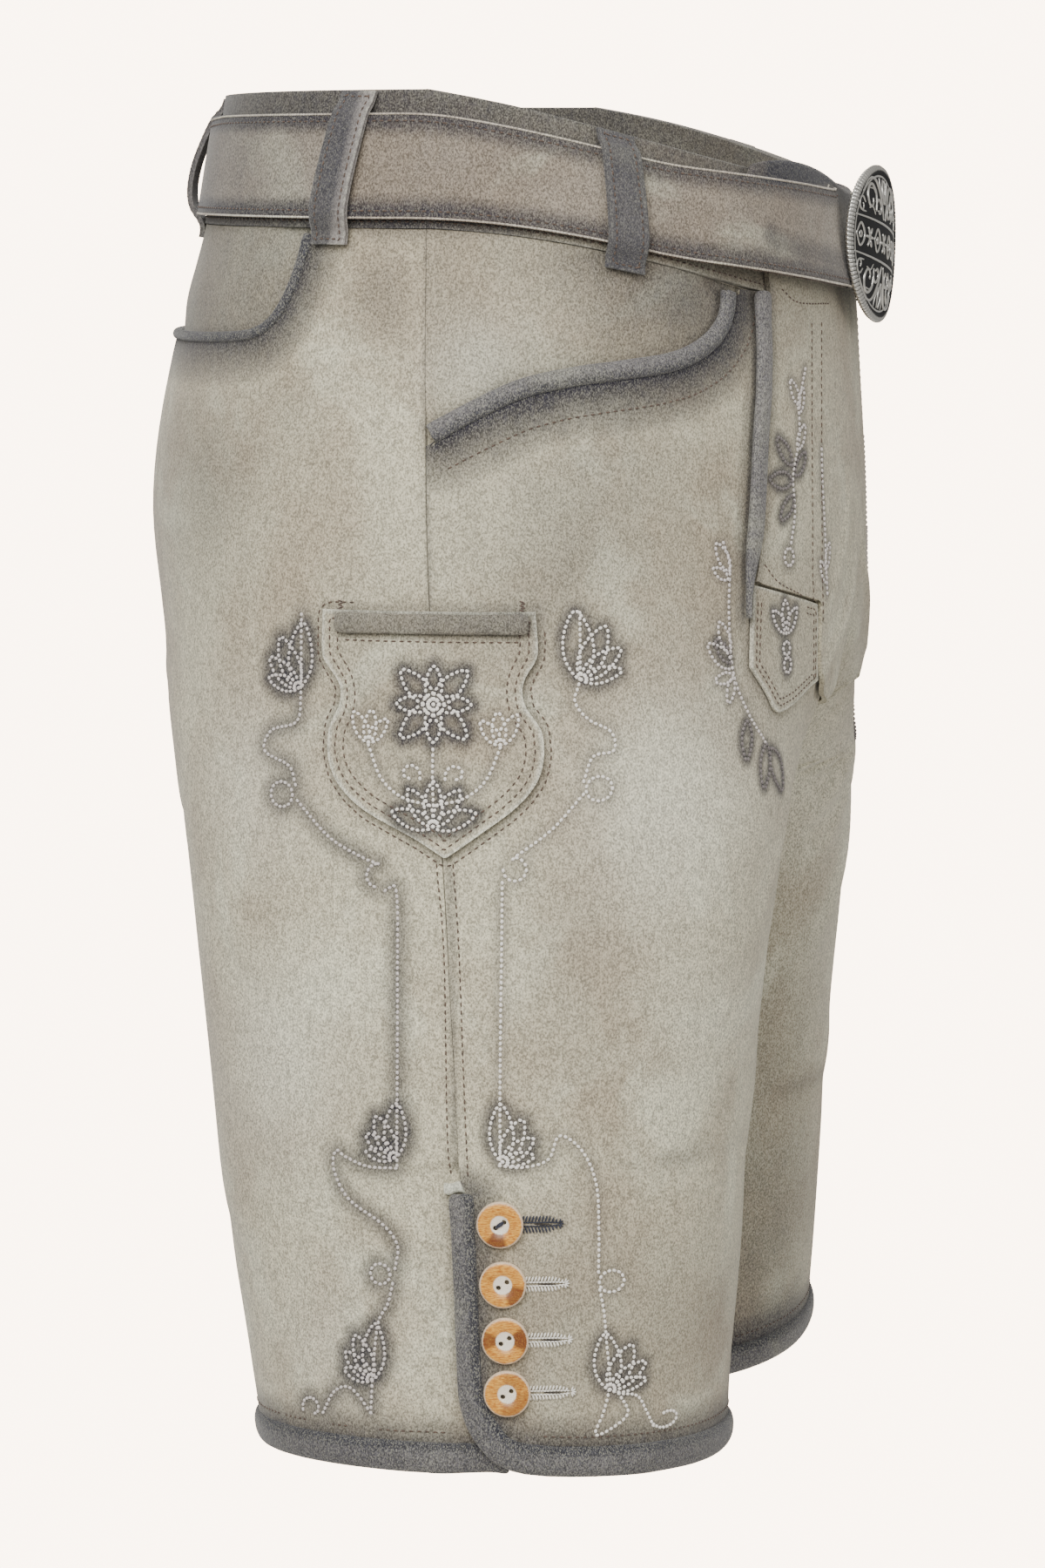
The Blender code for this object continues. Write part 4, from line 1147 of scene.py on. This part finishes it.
def at_least(values, name, more):
    """Dye, painted shade and wear on a piece, where more replaces what is
    weaker.
    """
    values[name] = np.maximum(values[name], more)


def glaze(name, more):
    """Dye and painted shade on top of what a piece has already."""
    dusk[name] = 1 - (1 - dusk[name]) * (1 - more)


def spray(names, points, reach, strength, power=0.6):
    """Dye and painted shade near some points; the strongest wins."""
    for name in names:
        off = away_from(places_of[name], points, reach * MM) / (reach * MM)
        at_least(dusk, name, strength * (1 - off) ** power)


# dye sprayed beside rolls and seams, and thin painted shadow lines beside the
# flap's binding, round the knife pocket and round the flap corners
DYED_AND_SHADED = (  # from, onto, reach, strength
    ("front_pocket_piping_{}", ("front_panel_{}",), 21, 1.0),
    ("front_pocket_piping_{}", ("front_pocket_facing_{}", "back_panel_{}"),
     5, 0.5),
    ("back_pocket_piping_{}", ("back_panel_{}",), 17, 0.95),
    ("back_pocket_piping_{}", ("back_pocket_facing_{}",), 8, 0.75),
    ("flap_binding_{}", ("flap", "front_panel_{}", "flap_corner_{}"), 6, 0.5),
    # painted shadow: a near-black line on the front panel beside the flap's
    # binding, for the gap under its edge
    ("flap_binding_{}", ("front_panel_{}",), 2.6, 0.95),
    ("leg_binding_front_{}", ("front_panel_{}",), 12, 0.85),
    ("leg_binding_front_{}", ("back_panel_{}",), 5, 0.5),
    ("leg_binding_back_{}", ("back_panel_{}",), 11, 0.8),
    ("leg_binding_back_{}", ("front_panel_{}",), 5, 0.4),
    ("back_seam_welt", ("back_panel_R", "back_panel_L"), 15, 0.9),
    ("knife_pocket_band", ("knife_pocket",), 3.5, 0.6),
    # painted shadow: a thin dark line on the panels round the knife pocket
    ("knife_pocket", ("front_panel_R", "back_panel_R"), 4, 0.42),
    # painted shadow: a thin dark line on the front panel round each flap
    # corner
    ("flap_corner_{}", ("front_panel_{}",), 3.5, 0.4))
for source, names, reach, strength in DYED_AND_SHADED:
    for side in sides_of(source):
        spray(of_side(names, side), places_of[source.format(side)], reach,
              strength)
CLOUDS = (  # x, z of the middle, reach across and along, darkening, paleness
    (88, -78, 42, 30, 0.62, 0), (-92, -160, 40, 46, 0.14, 0),
    (44, -474, 34, 56, 0.20, 0), (-34, -176, 30, 60, 0.08, 0),
    (60, -62, 40, 14, 0.42, 0), (40, -178, 50, 66, 0.32, 0),
    (66, -146, 40, 40, 0.22, 0), (-104, -150, 30, 44, 0.30, 0),
    (-24, -78, 20, 26, 0.36, 0), (70, -330, 60, 120, 0.05, 0),
    (92, -406, 20, 5, 0.30, 0), (92, -470, 50, 46, 0.18, 0),
    (-60, -118, 24, 30, 0.16, 0), (52, -330, 26, 60, 0.12, 0),
    (112, -210, 26, 60, 0.14, 0), (-20, -230, 30, 40, 0.12, 0),
    (86, -270, 40, 60, 0, 0.6), (14, -104, 26, 24, 0, 0.5),
    (-76, -262, 34, 50, 0, 0.45), (-66, -372, 40, 54, 0, 0.6),
    (-40, -480, 34, 40, 0, 0.4), (100, -350, 24, 40, 0, 0.3),
    (-96, -100, 20, 24, 0, 0.2))
for name, places in places_of.items():
    if "binding" in name or "piping" in name or "belt" in name:
        continue
    x, y, z = places.T / MM
    left = y > 0  # the clouds of the left side lie a little elsewhere
    for cx, cz, across, along, darkening, pale in CLOUDS:
        off = ((x - cx - 14 * left) / across) ** 2 \
            + ((z - cz + 11 * left) / along) ** 2
        share = np.exp(-1.6 * off)
        glaze(name, darkening * share)
        at_least(rub, name, pale * share)
below = [n + s for n in ("front_panel_", "back_panel_",
                         "front_pocket_facing_", "back_pocket_facing_")
         for s in "RL"]
# painted shade under the belt: the panels and the flap darken near the strap's
# edges
spray(below + ["flap"], own_edges("belt_strap"), 12, 0.62, 0.8)
# painted shade round each belt loop, on the strap and on the panels beside it
for name, places in places_of.items():
    if "loop" in name:
        spray(["belt_strap"] + [n for n in below if n[-1] == name[-1]],
              places, 5, 0.5)
for side in "RL":  # a little dye lies round the buttonholes
    for number in range(1, 5):
        low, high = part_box("button_%s%d" % (side, number))
        x, z = high.x / MM, (low.z + high.z) / 2 / MM
        sprayed.append((pressed("side", ((x, z), (x + 14, z)), side,
                                ["front_panel_" + side], 2.0)[0], 0.34, 4.5))
for line, strength, reach in sprayed:
    side = "R" if line[:, 1].mean() < 0 else "L"
    spray(["flap", "knife_pocket", "front_panel_" + side,
           "back_panel_" + side, "flap_corner_" + side], line, reach,
          min(1.15 * strength, 1.0), 0.6 if strength > 0.78 else 0.9)
CREST_HIGHLIGHTS = (("leg_binding_front_", "front_panel_"),
          ("leg_binding_back_", "back_panel_"),
          ("front_pocket_piping_", "front_panel_"),
          ("flap_binding_", "front_panel_"))
for side in "RL":
    for panel in "front_panel_", "back_panel_":
        # painted shade: the insides of the legs and their hems are darker
        _, y, z = np.abs(places_of[panel + side].T) / MM
        inner = ease(108, 62, y) * ease(270, 450, z) * 0.36
        glaze(panel + side, np.maximum(
            inner, 0.55 * ease(112, 80, y) * ease(492, 512, z)))
    # painted highlight: each roll's dye is lightened along its crest, away
    # from the panel
    for roll, beside in CREST_HIGHLIGHTS:  # rolls are paler along their crest
        off = away_from(places_of[roll + side], places_of[beside + side],
                        7 * MM) / MM
        dusk[roll + side] *= 1 - 0.22 * ease(1.6, 4.2, off)
for name, piece in cloth.items():
    if not name.startswith(("belt", "knife_pocket", "flap", "waistband")) \
            or "binding" in name:
        continue
    off = away_from(places_of[name], own_edges(name, name != "belt_strap"),
                    14 * MM) / MM
    x, _, z = places_of[name].T / MM
    if name == "belt_strap":
        at_least(dusk, name, ease(14, 2, off)
                 * (0.84 + 0.14 * ease(60, -130, x)))
        at_least(dusk, name, 0.62 * ease(40, -110, x))
        at_least(dusk, name, ease(-36.2, -34.6, z) * ease(104, 112, x))
        under = ease(-0.2, -0.8, coords(piece.data, "normal")[:, 2])
        raw[name] = ease(1.6, 0.4, off) * under
    elif "corner" in name or name == "knife_pocket":
        at_least(rub, name, 0.85 * ease(1.5, 0.5, off))
    elif "loop" in name:
        rub[name] = 0.4 * ease(0.9, 0.2, off)
        if "side" in name:  # its front half is painted paler, a painted highlight where light falls
            x = x - np.polyval(np.polyfit(z, x, 1), z)
            share = (x - x.min()) / (x.max() - x.min())
            dusk[name] *= 1 - 0.75 * ease(0.5, 0.74, share)
    elif name == "waistband":
        dusk[name] *= 1 - 0.4 * ease(-50, -60, z)
        dusk[name] *= 1 - 0.12 * ease(-40, 90, x)
        rub[name] = 0.45 * ease(1.4, 0.4, off)
for name in cloth:  # the spray reaches the outside only
    if name.startswith(("front_panel", "back_panel")):
        x, y, z = places_of[name].T / MM
        out = unit(np.stack((x, y - 75 * np.sign(y),
                             np.clip(z + 200, -60, 60) / 2), 1))
        inside = ease(0.05, -0.2, (
            out * coords(cloth[name].data, "normal")).sum(1))
        dusk[name] = dusk[name] * (1 - inside) + 0.12 * inside


def paint(piece, name, values):
    """Store one value per point, for the finish to read."""
    layer = piece.data.attributes.new(name, "FLOAT", "POINT")
    layer.data.foreach_set("value", values.astype(np.float32))


for name, piece in cloth.items():
    for layer, values in ("dusk", dusk), ("rub", rub), ("raw", raw):
        paint(piece, layer, np.clip(values[name], 0, 1))
print("mean dye:", {n: round(float(v.mean()), 2) for n, v in dusk.items()})

# %% [markdown]
# ## Sewing thread
# One stitch is a small rounded bead.  Its shape is made once and copied along
# each row, turned to lie along the row with its back sunk in the leather.
# Machine thread is brown and thin; embroidery thread is thick and pale, and
# a greyer one is used where dye was sprayed over it.


# %% Stitches
def twist_of(name, light, dark):
    """Twisted thread: fine slanting bands of two tones."""
    make = Recipe(name)
    bands = make.noise(2600, 2, 0.6, stretch=(1, 1, 0.6))
    soil = make.times(make.noise(90, 3, 0.5), 0.35)
    base = make.tones(bands, 0.38, 0.62, dark, light)
    return make.finish(make.mix(soil, base, colour(*dark)), 0.6,
                       (bands, 0.4, 0.15 * MM), Sheen_Weight=0.25,
                       Specular_IOR_Level=0.3)


THREADS = {name: twist_of(name + " thread", *tones) for name, tones in {
    "brown": ((104, 84, 70), (58, 46, 40)),
    "pale": ((252, 249, 244), (226, 220, 210)),
    "dull": ((226, 220, 216), (190, 182, 178)),
    "dark": ((138, 130, 128), (98, 92, 92)),
    "navy": ((52, 56, 72), (30, 33, 46)),
    "grey": ((250, 248, 240), (222, 217, 206)),
    "tack": ((104, 84, 74), (66, 54, 50))}.items()}
worn_edge = suede("worn edge", (196, 190, 178), (166, 156, 142), nap=0.3)
bm = bmesh.new()
bmesh.ops.create_icosphere(bm, subdivisions=1, radius=1.0)
bmesh.ops.recalc_face_normals(bm, faces=bm.faces)
bead_points = np.array([v.co[:] for v in bm.verts])
bead_faces = np.array([[v.index for v in f.verts] for f in bm.faces])
bm.free()


def sewn(name, beads, finish):
    """One piece out of many beads: (centre, along, out, length, width)."""
    points, faces = [], []
    for k, (centre, along, out, length, width) in enumerate(beads):
        along = unit(along)
        across = unit(np.cross(out, along))
        out = np.cross(along, across)
        turn = np.stack((along * length / 2, across * width / 2,
                         out * width * 0.42)) * MM
        points.append(centre + out * width * 0.12 * MM + bead_points @ turn)
        faces.append(bead_faces + k * len(bead_points))
    mesh = bpy.data.meshes.new(name)
    mesh.from_pydata(np.vstack(points), [], np.vstack(faces).tolist())
    mesh.update()
    return new_piece(name, mesh, finish)


def beads_of(group, length, width, sway_by=0.0):
    """Beads along each row, one at each of its steps."""
    made = []
    for places, facing in group:
        if len(places) < 3:
            continue
        run = np.gradient(places, axis=0)
        for k in range(len(places)):
            lean = np.cross(facing[k], run[k]) * sway_by * (-1) ** k
            made.append((places[k], run[k] + lean, facing[k], length, width))
    return made


stitches = 0
for name, group in rows.items():
    if name == "belt_edges":  # along the strap only, not over its ends
        beads = [b for b in beads_of(group, 2.6, 1.0)
                 if abs(b[1][2]) < 0.5 * np.linalg.norm(b[1])]
        sewn(name, beads, worn_edge)
    else:
        beads = beads_of(group, 2.2, 0.75)
        sewn(name, beads, THREADS["brown"])
    stitches += len(beads)
for (thread, side), group in threads.items():
    beads = beads_of(group, 1.85, 1.45, 0.22)
    sewn("embroidery_%s_%s" % (thread, side), beads, THREADS[thread])
    stitches += len(beads)
print("stitches:", stitches)

# %% [markdown]
# ## Horn buttons
# A staghorn button is a slice of antler: pale bark at the rim, a caramel ring
# with darker burns, and a cream core with two holes.  Each is a profile spun
# about its axis, set where its cut piece lies, with the holes taken out by a
# Boolean.  Its rings come from the distance to the middle, stored on the
# points, and the burns from an angle chosen for each button.

# %% Horn
make = Recipe("polished staghorn")
grain = make.noise(9, 4, 0.6, stretch=(1, 5, 1), place=make.uv, twist=0.8)
speck = make.noise(46, 3, 0.65, stretch=(1, 2.2, 1), place=make.uv)
caramel = make.tones(grain, 0.36, 0.64, (176, 102, 26), (230, 172, 72))
burn = make.times(make.attribute("burn"),
                  make.span(speck, 0.34, 0.56, 0.45, 1.0))
caramel = make.mix(burn, caramel, colour(96, 40, 8))
core = make.tones(speck, 0.4, 0.62, (246, 239, 224), (224, 209, 184))
bark = make.tones(speck, 0.4, 0.6, (232, 214, 190), (206, 176, 142))
wobble = make.total((make.attribute("wide"), 1.0), (grain, 0.1), (speck, 0.1))
base = make.mix(make.span(wobble, 0.46, 0.53), core, caramel)
base = make.mix(make.span(wobble, 1.0, 1.06), base, bark)
horn = make.finish(base, 0.36, (make.math("ADD", grain, speck), 0.25,
                                0.2 * MM),
                   Coat_Weight=0.15, Coat_Roughness=0.25)
BUTTON_R = 9.0
PROFILE = ((0, 0), (7.9, 0), (8.8, 0.6), (9.0, 1.3), (8.85, 2.1), (8.4, 2.65),
           (7.7, 2.85), (6.2, 2.8), (4.6, 2.7), (4.0, 2.4), (3.5, 2.15),
           (0, 2.1))
BURNS = {  # middle, half width and strength of each button's burns
    1: ((-100, 30, 1.0),), 2: ((-38, 34, 0.9), (150, 12, 0.3)),
    3: ((178, 26, 0.9), (8, 34, 1.0)), 4: ((-50, 60, 0.55), (60, 40, 0.4))}
HOLE_TURN, HOLE_OFF, HOLE_R = 35, 1.95, 0.95


def frame_of(node):
    """Middle, sideways, upward and outward directions of a flat fitting."""
    places = coords(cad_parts[node].data)
    middle = (places.min(0) + places.max(0)) / 2
    _, _, axes = np.linalg.svd(places - places.mean(0), full_matrices=False)
    out = axes[2] * np.sign(axes[2][1] * middle[1])
    side = unit(np.cross(out, (0, 0, 1.0)))
    side = side * np.sign(side[0])
    up = np.cross(side, out)
    up = up * np.sign(up[2])
    low = ((places - middle) @ out).min()
    return middle + out * low, side, up, out


def turned_disc(name, profile, steps):
    """A closed turned shape: a profile spun round its own axis."""
    bm = bmesh.new()
    verts = [bm.verts.new((r * MM, 0, h * MM)) for r, h in profile]
    for pair in zip(verts, verts[1:]):
        bm.edges.new(pair)
    bmesh.ops.spin(bm, geom=bm.verts[:] + bm.edges[:], cent=(0, 0, 0),
                   axis=(0, 0, 1), angle=2 * math.pi, steps=steps,
                   use_merge=True)
    bmesh.ops.remove_doubles(bm, verts=bm.verts, dist=0.004 * MM)
    bmesh.ops.recalc_face_normals(bm, faces=bm.faces)
    return mesh_of(bm, name)


def worked_out(*objects):
    """The first object's mesh with its modifiers; all are then removed."""
    made = bpy.data.meshes.new_from_object(as_shown(objects[0]))
    for ob in objects:
        bpy.data.objects.remove(ob, do_unlink=True)
    return made


def set_on(mesh, foot, ways):
    """Set a mesh that was made about its origin on a foot, along ways."""
    put(mesh, foot + coords(mesh) @ np.stack(ways))
    if np.linalg.det(ways) < 0:
        mesh.flip_normals()


bm = bmesh.new()
c, s = spoke(HOLE_TURN)
for off in -HOLE_OFF * MM, HOLE_OFF * MM:
    bmesh.ops.create_cone(
        bm, cap_ends=True, cap_tris=False, segments=14, radius1=HOLE_R * MM,
        radius2=HOLE_R * MM, depth=9 * MM,
        matrix=Matrix.Translation((off * c, off * s, 0)))
blank = linked("blank", turned_disc("button blank", PROFILE, 56))
cut = blank.modifiers.new("cut", "BOOLEAN")
cut.operation, cut.solver = "DIFFERENCE", "EXACT"
cut.object = linked("drill", mesh_of(bm, "drill"))
bored = worked_out(blank, cut.object)
flat = coords(bored)
uvs = flat[:, :2] / (2 * BUTTON_R * MM) + 0.5
wide = np.linalg.norm(flat[:, :2], axis=1) / (BUTTON_R * MM)
wide = np.maximum(wide, 0.97 * (flat[:, 2] < 2.0 * MM) * (wide > 0.6))
angle = np.degrees(np.arctan2(flat[:, 1], flat[:, 0]))
for side in "RL":
    for number in range(1, 5):
        node = "button_%s%d" % (side, number)
        foot, *ways = frame_of(node)
        mesh = bored.copy()
        mesh.name = "horn_" + node
        set_on(mesh, foot, ways)
        burn = np.zeros(len(flat))
        for middle, half, strength in BURNS[number]:
            off = np.abs((angle - middle - (40 if side == "L" else 0) + 180)
                         % 360 - 180)
            burn = np.maximum(burn, strength * ease(half * 1.25, half * 0.75,
                                                    off))
        made = new_piece("horn_" + node, mesh, horn)
        layer = mesh.uv_layers.new(name="face")
        index = np.empty(len(mesh.loops), np.int32)
        mesh.loops.foreach_get("vertex_index", index)
        layer.data.foreach_set("uv", (uvs[index] + 0.37 * number)
                               .astype(np.float32).ravel())
        paint(made, "wide", wide)
        paint(made, "burn", burn)
        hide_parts(node)
print("button faces:", len(bored.polygons))

# %% [markdown]
# ## Buttonholes and the bars above the slits
# A hand-worked buttonhole is a slit between two combs of slanting stitches
# that close at its end.  The top one is worked in navy thread, the others in
# pale grey.  A small folded bar of leather closes the top of each slit.

# %% Buttonholes
COMB = 1.2  # mm from one stitch of a comb to the next
HOLE_SIZES = ((13.6, 3.0), (14.6, 2.6), (15.0, 2.5), (15.4, 2.4))
# the slit's dark bead is painted shadow in the opening of a buttonhole
make = Recipe("slit shadow")
slit_shadow_finish = make.finish(make.mix(make.noise(500, 2, 0.6), colour(46, 42, 40),
                                   colour(74, 66, 60)), 0.95)


def at(x, z, side, names):
    """One point of the side card set on cloth, with its normal."""
    places, facing = pressed("side", ((x - 0.5, z), (x, z), (x + 0.5, z)),
                             side, names, 0.5)
    k = len(places) // 2
    return places[k], facing[k]


def bead(x, z, side, names, along, length, width, lift=0.0):
    """A bead of thread on a point of the side card."""
    place, facing = at(x, z, side, names)
    return place + facing * lift * MM, along, facing, length, width


for side in "RL":
    names = ["front_panel_" + side]
    for number, (length, tall) in enumerate(HOLE_SIZES, 1):
        foot, across, up, _ = frame_of("button_%s%d" % (side, number))
        x0, z0 = foot[0] / MM + BUTTON_R - 0.6, foot[2] / MM
        beads = []
        for k in range(int(length / COMB)):
            x, close = x0 + k * COMB, ease(length * 1.1, length * 0.6,
                                           k * COMB)
            for way in (-1, 1):
                beads += [
                    bead(x, z0 + way * (0.5 + tall * 0.55 * close), side,
                         names, across * 0.34 + up * way,
                         tall * (0.4 + 0.65 * close), 0.85, 0.3),
                    bead(x + 0.5, z0 + way * (0.3 + 0.4 * close), side,
                         names, across, 1.5, 0.75, 0.25)]
        for turn in (-70, -35, 0, 35, 70):
            c, s = spoke(turn)
            beads.append(bead(x0 + length - 0.6 + c, z0 + 1.2 * s, side,
                              names, across * c + up * s, 2.2, 0.75, 0.3))
        name = "buttonhole_%s%d" % (side, number)
        sewn(name, beads, THREADS["navy" if number == 1 else "grey"])
        # painted shadow: a dark bead lies in each slit
        sewn("slit_" + name, [bead(x0 + length * 0.42, z0, side, names,
                                   across, length * 0.9, 0.6)], slit_shadow_finish)

# %% Threads in the top buttons, bars above the slits, corner tacks
bar_hide = suede("folded bar", (196, 196, 180), (176, 172, 156), nap=0.3)
for side in "RL":
    foot, across, up, out = frame_of("button_%s1" % side)
    c, s = spoke(HOLE_TURN)
    lean, knot = across * c + up * s, foot + out * 2.3 * MM
    sewn("button_thread_" + side,
         [(knot, lean, out, 4.6, 1.5),
          (knot + up * 0.5 * MM, lean, out, 4.2, 1.2)],
         THREADS["navy"])
    place, facing = at(10.4, -413.6, side, [
        n + side for n in ("front_panel_", "back_panel_",
                           "leg_binding_front_")])
    bm = bmesh.new()
    bmesh.ops.create_cube(bm, size=1.0)
    bmesh.ops.subdivide_edges(bm, edges=bm.edges, cuts=4, use_grid_fill=True)
    for vert in bm.verts:
        u, v, w = vert.co
        vert.co = (u * 8.6, v * 4.2 + 0.8 * math.sin(u * 7) - 1.1 * abs(u),
                   w * 1.5 + 0.5 * math.cos(v * 3.1))
    bmesh.ops.smooth_vert(bm, verts=bm.verts, factor=0.5, use_axis_x=True,
                          use_axis_y=True, use_axis_z=True)
    level = np.cross((0, 0, 1.0), facing)
    level = unit(level) * np.sign(level[0])
    upward = np.cross(facing, level)
    upward = upward * np.sign(upward[2])
    mesh = mesh_of(bm, "slit_bar_" + side)
    set_on(mesh, place + facing * 0.9 * MM,
           np.stack((level, upward, facing)) * MM)
    new_piece("slit_bar_" + side, mesh, bar_hide)
sewn("corner_tacks", [
    bead(x + 0.25 * (-1) ** k, z - 2 + k * 0.8, "R", of_side(names, "R"),
         np.array((1.0, 0, 0.28 * (-1) ** k)), 2.4, 0.7)
    for x, z, names in ((-36.5, -194.2, LEG), (33.5, -193.6, LEG),
                        (36.0, -200.5, ("knife_pocket",)))
    for k in range(6)], THREADS["tack"])
print("combs, bars and tacks made")

# %% [markdown]
# ## The cast buckle
# The plate is pewter, cast as a shallow oval with a coined rim, and darkened
# so that its raised scrolls stay bright.  It starts as a turned disc that is
# stretched to an oval and bent to the body.  The scrolls are curves with a
# round section and thinning ends, turned to mesh and sunk half way into the
# plate.  A plain band of lozenges and rosettes crosses its middle.

# %% Pewter
make = Recipe("darkened pewter")
pits = make.noise(900, 3, 0.65)
tone = make.total((make.attribute("high"), 1.0),
                  (make.noise(120, 4, 0.6), 0.3), (pits, 0.4))
shine = make.span(tone, 0.55, 1.25)
pewter = make.finish(
    make.mix(shine, colour(26, 26, 28), colour(206, 204, 198)),
    make.span(tone, 0.55, 1.25, 0.66, 0.32), (pits, 0.3, 0.15 * MM),
    Metallic=shine, Specular_IOR_Level=0.2)
PLATE_WIDE, PLATE_TALL, PLATE_BEND = 86.0, 63.0, 330.0
PLATE_TURN, PLATE_TILT, PLATE_LEAN = 4.3, 8.0, 0.6  # degrees
NOTCHES = 112
RIM = (  # share of the plate's radius, height in mm
    (0, 0), (0.80, 0), (0.94, 0.1), (0.985, 0.5), (1.0, 1.2), (1.0, 1.9),
    (0.985, 2.6), (0.955, 3.0), (0.925, 3.0), (0.905, 2.6), (0.895, 2.2),
    (0.875, 2.25), (0.865, 2.55), (0.85, 2.55), (0.84, 2.3), (0.7, 2.9),
    (0.5, 3.5), (0.25, 3.9), (0, 4.05))
node = coords(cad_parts["buckle_plate"].data)
(c, s), (level, tip), (upright, drop) = (
    spoke(v) for v in (PLATE_TURN, PLATE_TILT, PLATE_LEAN))
across = np.array((s, c, 0))
ahead = np.array((c * upright, -s * upright, -drop))
rise = np.cross(ahead, across)
plate_ways = np.stack((across * level - rise * tip,
                       across * tip + rise * level, ahead))
y, v, h = plate_ways @ (node - node.mean(0)).T
middle = (y.min() + y.max()) / 2
bend = (y - middle) ** 2 / (2 * PLATE_BEND * MM)
plate_foot = node.mean(0) + plate_ways.T @ (
    middle, (v.min() + v.max()) / 2, (h + bend).min())


def onto_plate(flat):
    """Places of the flat design, in mm, on the bent plate."""
    bend = np.outer(flat[:, 0] ** 2 / (2 * PLATE_BEND), (0, 0, 1))
    return plate_foot + MM * (flat - bend) @ plate_ways


plate = turned_disc("cast_buckle", RIM, 4 * NOTCHES)
flat = coords(plate) / MM
radius = np.linalg.norm(flat[:, :2], axis=1)
notch = np.cos(np.arctan2(flat[:, 1], flat[:, 0]) * NOTCHES) + 0.4
coined = (radius > 0.94) & (flat[:, 2] > 0.4)
flat[:, :2] *= (PLATE_WIDE / 2, PLATE_TALL / 2)
flat[:, 2] -= 0.6 * (notch < 0) * coined
flat[:, :2] *= 1 - 0.014 * ((notch < 0) & coined)[:, None]
put(plate, onto_plate(flat))
made = new_piece("cast_buckle", plate, pewter)
paint(made, "high", np.where(coined, 0.25 + 0.75 * (notch > 0), np.where(
    np.abs(radius - 0.8575) < 0.009, 0.85, 0.3 * (radius > 0.92))))
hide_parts("buckle_plate")

# %% Relief of the plate
FACE = RIM[:-6:-1]  # the plate's face, from its middle to the inner rim
SPIRALS = (  # middle, two sizes, two angles, thickness
    (19, 16, 7.2, 2.0, 200, -190, 0.95), (8.5, 13, 4.6, 1.4, -20, 330, 0.8),
    (30.0, 12, 3.8, 1.2, 160, -220, 0.7))
STROKES = (
    (((1.5, 9.4), (5, 17), (12, 24), (22, 23.4), (29, 17.5)), 0.9),
    (((0.6, 16), (2.6, 21), (1.4, 26)), 0.9),
    (((3.4, 18), (6.2, 22.4), (6.6, 26)), 0.7),
    (((26, 9.6), (31, 10), (34, 13)), 0.6),
    (((12, 17.6), (15.4, 20.2), (20, 20)), 0.55),
    (((14, 10), (17.4, 12.6), (21.6, 11.8)), 0.55))
BAND = ((-37, 7.4), (-20, 7.6), (0, 7.7), (20, 7.6), (37, 7.4))


def dome(y, v):
    """Height of the plate's face at a place."""
    out = math.hypot(y / (PLATE_WIDE / 2), v / (PLATE_TALL / 2))
    return float(np.interp(out, *zip(*FACE)))


def relief(name, lines):
    """Tapering round wires along flat lines, sunk into the plate."""
    data = bpy.data.curves.new(name, "CURVE")
    data.dimensions = "3D"
    data.bevel_depth, data.bevel_resolution = 1.0, 2
    data.use_fill_caps = True
    for points, thick, closed in lines:
        way = smooth_way(points, 0.7, closed)
        line = data.splines.new("POLY")
        line.points.add(len(way) - 1)
        for k, (y, v) in enumerate(way):
            share = k / (len(way) - 1)
            full = 1.0 if closed else 0.45 + 0.55 * math.sin(
                math.pi * (0.15 + 0.75 * share))
            line.points[k].co = (y, v, dome(y, v) + 0.1 * thick, 1)
            line.points[k].radius = 0.72 * thick * full
    mesh = worked_out(linked(name, data))
    put(mesh, onto_plate(coords(mesh)))
    bm = bmesh.new()
    bm.from_mesh(mesh)
    bmesh.ops.remove_doubles(bm, verts=bm.verts, dist=0.003 * MM)
    bmesh.ops.recalc_face_normals(bm, faces=bm.faces)
    bm.to_mesh(mesh)
    bm.free()
    made = new_piece(name, mesh, pewter)
    paint(made, "high", np.ones(len(mesh.vertices)))


quarter = [(curl(*spiral)[0][0], thick) for *spiral, thick in SPIRALS]
lines = [([(y * flip_y, v * flip_v) for y, v in points], thick, False)
         for points, thick in (*quarter, *STROKES)
         for flip_y in (1, -1) for flip_v in (1, -1)]
lines += [([(y, v * flip) for y, v in BAND], 0.7, False) for flip in (1, -1)]
for k in range(-3, 4):
    y = k * 10.4
    if k % 2:
        lines.append(([(y - 4.2, 0), (y, 4.6), (y + 4.2, 0), (y, -4.6),
                       (y - 4.2, 0.05)], 0.75, False))
    else:
        for a in range(0, 360, 60):
            c, s = spoke(a)
            lines.append(([(y + r * c, r * s) for r in (1.4, 3, 4.4)], 0.85,
                          False))
    lines.append((ring(y, 0, 1.2 if k % 2 else 1.0)[0][0], 0.6, True))
relief("buckle_relief", lines)
print("relief lines:", len(lines))
